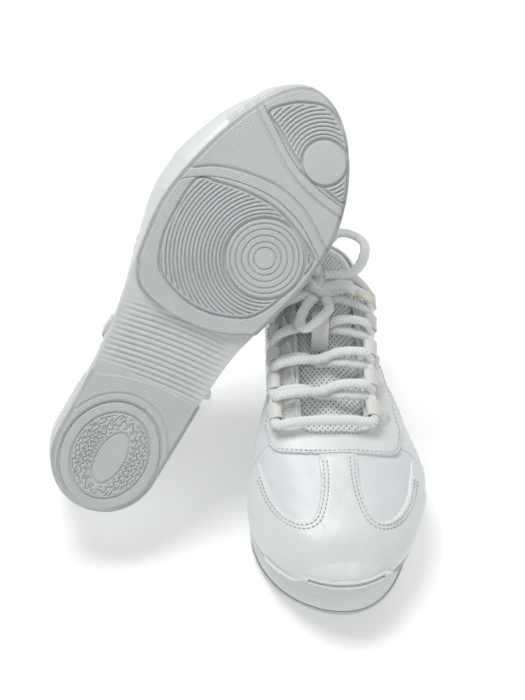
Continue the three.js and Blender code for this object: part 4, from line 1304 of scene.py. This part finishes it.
def unit_outline(rear, front, inset=OUTSOLE_INSET):
    """Loop of one rubber unit in plan, between two edges and the outline of the sole."""
    ys = np.linspace(0.01, SOLE_LENGTH - 0.01, 1200)
    sides = {}
    for side in (-1, 1):
        xs = side * (half_base(ys, side) - inset) * plan_round(ys, side)
        keep = np.ones(len(ys), bool)
        if rear is not None:
            keep &= ys > np.interp(xs, *np.array(rear).T) + GAP / 2
        if front is not None:
            keep &= ys < np.interp(xs, *np.array(front).T) - GAP / 2
        sides[side] = np.stack([xs, inset + ys / SOLE_LENGTH * (SOLE_LENGTH - 2 * inset)], -1)[keep]
    medial, lateral = sides[1], sides[-1][::-1]
    loop = list(medial)
    for edge, start, end, shift in ((front, medial[-1], lateral[0], -GAP / 2),
                                    (rear, lateral[-1], medial[0], GAP / 2)):
        if edge is not None:
            smooth = smooth_loop(edge, 1.0, closed=False)
            between = np.linspace(start[0], end[0], 60)[1:-1]
            loop += [(x, np.interp(x, *smooth.T) + shift) for x in between]
        if edge is front:
            loop += list(lateral)
    return resample(np.vstack([loop, loop[:1]]), 0.8)[:-1]


def slab(build, loop, relief, flare, step=0.4):
    """Rubber unit: a relief face at the ground, walls that flare out to the sole's edge, and a rim at
    the top. flare says whether the walls follow the side of the sole."""
    low, high = loop.min(0), loop.max(0)
    axes = (np.arange(low[0] - step, high[0] + 2 * step, step),
            np.arange(low[1] - step, high[1] + 2 * step, step))
    place, edge, border, quads = cells(axes, loop)
    x, y = place.T
    rounding = 0.5 * (1 - round_edge(edge, 0.9))
    base = np.stack([x, y, ground(np.clip(y, 0, SOLE_LENGTH)) + relief(x, y, edge) + rounding], -1)
    start = build.count
    build.add(base, [quads[:, ::-1]], place / 10)
    edges = np.stack([quads, np.roll(quads, -1, axis=1)], -1).reshape(-1, 2)
    key = edges[:, 0].astype(np.int64) * len(x) + edges[:, 1]
    back = edges[:, 1].astype(np.int64) * len(x) + edges[:, 0]
    rim = edges[~np.isin(key, back)]
    used = np.unique(rim)
    rank = np.zeros(len(x), int)
    rank[used] = np.arange(len(used))
    below = start + used
    half = half_base(y[used], x[used])
    for inset, rise in ((0.2, OUTSOLE_THICK * 0.6), (0.5, OUTSOLE_THICK + 0.15)):
        grow = (half - inset) / (half - OUTSOLE_INSET) if flare else np.ones(len(used))
        move = OUTSOLE_INSET - inset if flare else 0
        stretch = 1 + 2 * move / (SOLE_LENGTH - 2 * OUTSOLE_INSET)
        ahead = (y[used] - SOLE_LENGTH / 2) * stretch + SOLE_LENGTH / 2
        ring = np.stack([x[used] * grow, ahead, ground(np.clip(ahead, 0, SOLE_LENGTH)) + rise], -1)
        above = build.count + np.arange(len(used))
        build.add(ring, [], np.stack([x[used] + y[used], ring[:, 2] * 3], -1) / 10)
        a, b = rank[rim[:, 0]], rank[rim[:, 1]]
        build.faces.append(np.stack([below[a], below[b], above[b], above[a]], -1))
        below = above


HEEL_FRONT = [(-60, 62), (-30, 68), (-20, 72), (-10, 75.5), (0, 78), (12, 79.5), (30, 80), (60, 80)]
BALL_REAR = [(-60, 146), (-40, 134), (-34, 124), (-27, 119), (-12, 116.3), (0, 116.5), (12, 118.5),
             (23, 122.5), (33, 128), (60, 142)]
BALL_FRONT = [(-60, 170), (-46, 178), (-38, 184.5), (-30, 190), (-20, 194), (-8, 196.8), (5, 198),
              (16, 196.5), (27, 193), (40, 185.5), (60, 172)]
TOE_REAR = [(-60, 256), (-26, 240), (-19, 235.5), (-10, 230), (0, 223.5), (10, 218.5), (20, 215.5),
            (30, 213.8), (42, 213), (60, 212.5)]
BALL_PLATE = [(-35, 185), (-36, 160), (-33, 145), (-27, 134), (-15, 128), (0, 126), (15, 129), (30, 138),
              (40, 160), (43, 178), (41, 182), (27, 189), (10, 194), (-8, 193.5), (-24, 190)]
TOE_PLATE = [(-19, 237), (-10, 248), (0, 254), (8, 256), (18, 252), (27, 244), (35, 230), (41, 216),
             (30, 216), (20, 217.5), (10, 221), (0, 226), (-10, 232)]


def ridges(distance, pitch, deep):
    """Rounded ridges with narrow grooves between, as depth above the ground."""
    phase = np.cos(distance / pitch * TAU)
    return deep * np.clip((0.25 - phase) / 1.25, 0, 1) ** 1.5


def channel(distance, width, deep):
    """Round-bottomed channel at zero distance."""
    return deep * np.exp(-(distance / width) ** 4)


def rising(distance, start, over):
    """Share from 0 to 1 over a stretch that starts at a distance."""
    return np.clip((distance - start) / over, 0, 1)


def knurl(x, y, edge):
    """Fine diamond texture that fades out at the edge of a unit."""
    deep, pitch = 0.18, 1.9
    texture = np.abs(np.sin((x + y) * math.pi / pitch) * np.sin((x - y) * math.pi / pitch))
    return deep * texture * rising(edge, 1.2, 0.8)


def plate_relief(plate, disc, pitch):
    """Raised plate with ridges concentric with a disc, and knurl outside it."""
    loop = smooth_loop(plate, 2)

    def relief(x, y, edge):
        _, inside = nearest_on_loop(np.stack([x, y], -1), loop)
        radius = np.hypot(x - disc[0], y - disc[1])
        fine = ridges(radius - disc[2], pitch, 1.35) * rising(inside, 1.2, 0.8)
        moat = channel(radius - disc[2] - 0.9, 0.9, 2.0)
        well = 1.6 * (radius < disc[2])
        fine = fine * (radius > disc[2] + 2)
        carved = np.maximum(np.maximum(fine, channel(inside, 0.75, 1.8)), np.maximum(moat, well))
        return carved + rising(-inside, 0, 1) * knurl(x, y, edge)
    return relief


def pod_distance(x, y, radius_x, radius_y, centre=(HEEL_POD[0], HEEL_POD[1])):
    """Rough distance from an oval."""
    share = np.hypot((x - centre[0]) / radius_x, (y - centre[1]) / radius_y)
    return (share - 1) * min(radius_x, radius_y)


def heel_relief(x, y, edge):
    outside = pod_distance(x, y, HEEL_POD[2], HEEL_POD[3])
    line = channel(outside - 4.8, 0.6, 0.7)
    carved = np.maximum(np.maximum(1.6 * (outside < 0), channel(outside - 0.7, 0.7, 1.3)), line)
    return carved + rising(outside, 6, 1) * knurl(x, y, edge)


def pod_relief(x, y, edge):
    """Rings of the heel pod, wavy arches between them and a blank oval in the middle."""
    ring = pod_distance(x, y, 20.5, 24.5)
    oval = pod_distance(x, y, 7.2, 14, (2, 32))
    angle = np.arctan2(y - 33, x - 1)
    arch = ridges(oval + 0.75 * np.sin(angle * 26 + 2 * np.sin(oval * 1.2)), 2.3, 1.0)
    between = rising(-ring, 1.0, 0.5) * rising(oval, 1.4, 0.5)
    lines = np.maximum(channel(ring, 0.6, 1.2), channel(oval - 0.6, 0.5, 1.0))
    return np.maximum(arch * between, lines)


def disc_relief(disc, radii):
    def relief(x, y, edge):
        radius = np.hypot(x - disc[0], y - disc[1])
        return sum((channel(radius - r, 0.42, 0.9) for r in radii), np.zeros_like(x))
    return relief


def bridge_relief(x, y, edge):
    """Smooth rubber between the ball and the toe, with two curved channels across it."""
    ball = np.array(smooth_loop([(px, py + 6.5) for px, py in BALL_FRONT], 2, closed=False))
    toe = np.array(smooth_loop([(px, py - 5.5) for px, py in TOE_REAR], 2, closed=False))
    first = y - np.interp(x, *ball.T)
    second = y - np.interp(x, *toe.T)
    lines = channel(first, 0.9, 1.2) + channel(second, 0.9, 1.2)
    return np.minimum(lines, 1.2) + 0.5 * knurl(x, y, edge)


def oval_loop(x, y, radius_x, radius_y):
    return ellipse(radius_x, radius_y, 160) + (x, y)


def make_outsole(shoe):
    units = {
        "outsole_heel": (unit_outline(None, HEEL_FRONT), heel_relief, True),
        "outsole_ball": (unit_outline(BALL_REAR, BALL_FRONT),
                         plate_relief(BALL_PLATE, BALL_DISC, 2.1), True),
        "outsole_bridge": (unit_outline(BALL_FRONT, TOE_REAR), bridge_relief, True),
        "outsole_toe": (unit_outline(TOE_REAR, None), plate_relief(TOE_PLATE, TOE_DISC, 2.2), True),
        "heel_pod": (oval_loop(*HEEL_POD), pod_relief, False),
        "ball_disc": (oval_loop(*BALL_DISC, BALL_DISC[2]), disc_relief(BALL_DISC, (6, 9, 12.5, 16, 19)),
                      False),
        "toe_disc": (oval_loop(*TOE_DISC, TOE_DISC[2]), disc_relief(TOE_DISC, ()), False),
    }
    for name, (loop, relief, flare) in units.items():
        build = Build()
        slab(build, loop, relief, flare, 0.4 if flare else 0.3)
        finish_piece(build, shoe, name + "_rubber", "rubber", [name])


WAIST = (74, 122)
MIDSOLE_LEVELS = [(0.8, 0.0), (0.2, 0.2), (0.0, 0.45), (0.1, 0.7), (0.5, 0.92), (0.7, 1.0)]


def waist_relief(x, y):
    """Transverse grooves under the waist, as height above its face, and the face's own drop."""
    across = np.exp(-((x + 1) / 29) ** 8)
    wave = np.cos((y - 98 - 0.16 * x + 0.002 * x * x) / 3.1 * TAU)
    face = np.exp(-((y - 97) / 24) ** 8)
    grooves = 1.15 * across * np.exp(-((y - 98 - 0.1 * x) / 18.5) ** 10)
    return grooves * np.clip(wave + 0.15, 0, 1) - 0.5 * face


def make_midsole(shoe):
    """Foam between the outsole and the upper, with the waist's transverse grooves underneath."""
    ends = SOLE_LENGTH * (1 - np.cos(np.linspace(0, np.pi, 200))) / 2
    ys = np.concatenate([ends[ends < WAIST[0]], np.arange(*WAIST, 0.4), ends[ends > WAIST[1]]])
    across = np.linspace(-1, 1, 121)
    under = [(u, 0.8, 0.0) for u in across]
    right = [(1, inset, share) for inset, share in MIDSOLE_LEVELS[1:]]
    left = [(-1, inset, share) for inset, share in reversed(MIDSOLE_LEVELS[1:])]
    top = [(u, 0.7, 1.0) for u in np.linspace(0.9, -0.9, 9)]
    ring = np.array(under + right + top + left)
    y, u = np.meshgrid(ys, ring[:, 0], indexing="ij")
    inset, share = (np.broadcast_to(column, y.shape) for column in ring[:, 1:].T)
    side = np.where(u < 0, -1, 1)
    ahead = inset + y / SOLE_LENGTH * (SOLE_LENGTH - 2 * inset)
    x = u * (half_base(y, side) - inset) * plan_round(y, side)
    base = ground(ahead) + OUTSOLE_THICK + GAP
    z = base + (feather_z(ahead) - base) * share
    wall = (np.abs(u) == 1) & (share > 0.1) & (share < 0.8)
    z = z + np.where(share == 0, waist_relief(x, ahead), 0)
    x = x * (1 - np.where(wall, 0.004, 0) * np.cos(y * TAU / 2.4))
    build = Build()
    uv = np.stack([y / 10, np.broadcast_to(np.arange(len(ring)) / 6, y.shape)], -1)
    build.add(np.stack([x, ahead, z], -1), [grid_faces(len(ys), len(ring), wrap=True)[:, ::-1]], uv)
    finish_piece(build, shoe, "midsole_foam", "foam", ["midsole"])


for side_name in ("left", "right"):
    make_outsole(side_name)
    make_midsole(side_name)
    for node, slot in (("strobel_board", "board"), ("heel_stiffener", "plastic"),
                       ("sockliner", "lining")):
        solid = bpy.data.objects[f"{side_name}_{node}"]
        solid.data.materials.clear()
        solid.data.materials.append(MATERIALS[slot])


# ---------------------------------------------------------------- floor and light
def make_floor():
    shader = Shader("floor", (0.82, 0.82, 0.82), 0.9, Emission_Color=(1, 1, 1, 1),
                    Emission_Strength=0.33)
    size = 6
    mesh = bpy.data.meshes.new("floor")
    corners = [(-size, -size, 0), (size, -size, 0), (size, size, 0), (-size, size, 0)]
    mesh.from_pydata(corners, [], [(0, 1, 2, 3)])
    mesh.materials.append(shader.material)
    floor = bpy.data.objects.new("floor", mesh)
    bpy.context.scene.collection.objects.link(floor)


def area_light(name, place, aim, size, power):
    data = bpy.data.lights.new(name, "AREA")
    data.shape = "RECTANGLE"
    data.size, data.size_y = size
    data.energy = power
    light = bpy.data.objects.new(name, data)
    light.location = place
    direction = Vector(aim) - Vector(place)
    light.rotation_euler = direction.to_track_quat("-Z", "Y").to_euler()
    bpy.context.scene.collection.objects.link(light)


def make_world():
    world = bpy.data.worlds.new("studio")
    world.use_nodes = True
    world.node_tree.nodes["Background"].inputs["Color"].default_value = (1, 1, 1, 1)
    world.node_tree.nodes["Background"].inputs["Strength"].default_value = 0.31
    bpy.context.scene.world = world


make_floor()
make_world()
AIM = (-0.03, -0.06, 0.06)
area_light("key", (-0.35, 0.05, 1.5), AIM, (0.7, 0.7), 12.5)
area_light("fill", (0.5, -1.2, 0.9), AIM, (0.9, 0.7), 2.2)
area_light("rim", (0.6, 0.9, 0.8), AIM, (0.8, 0.5), 2.0)
bpy.context.scene.view_settings.view_transform = "Standard"
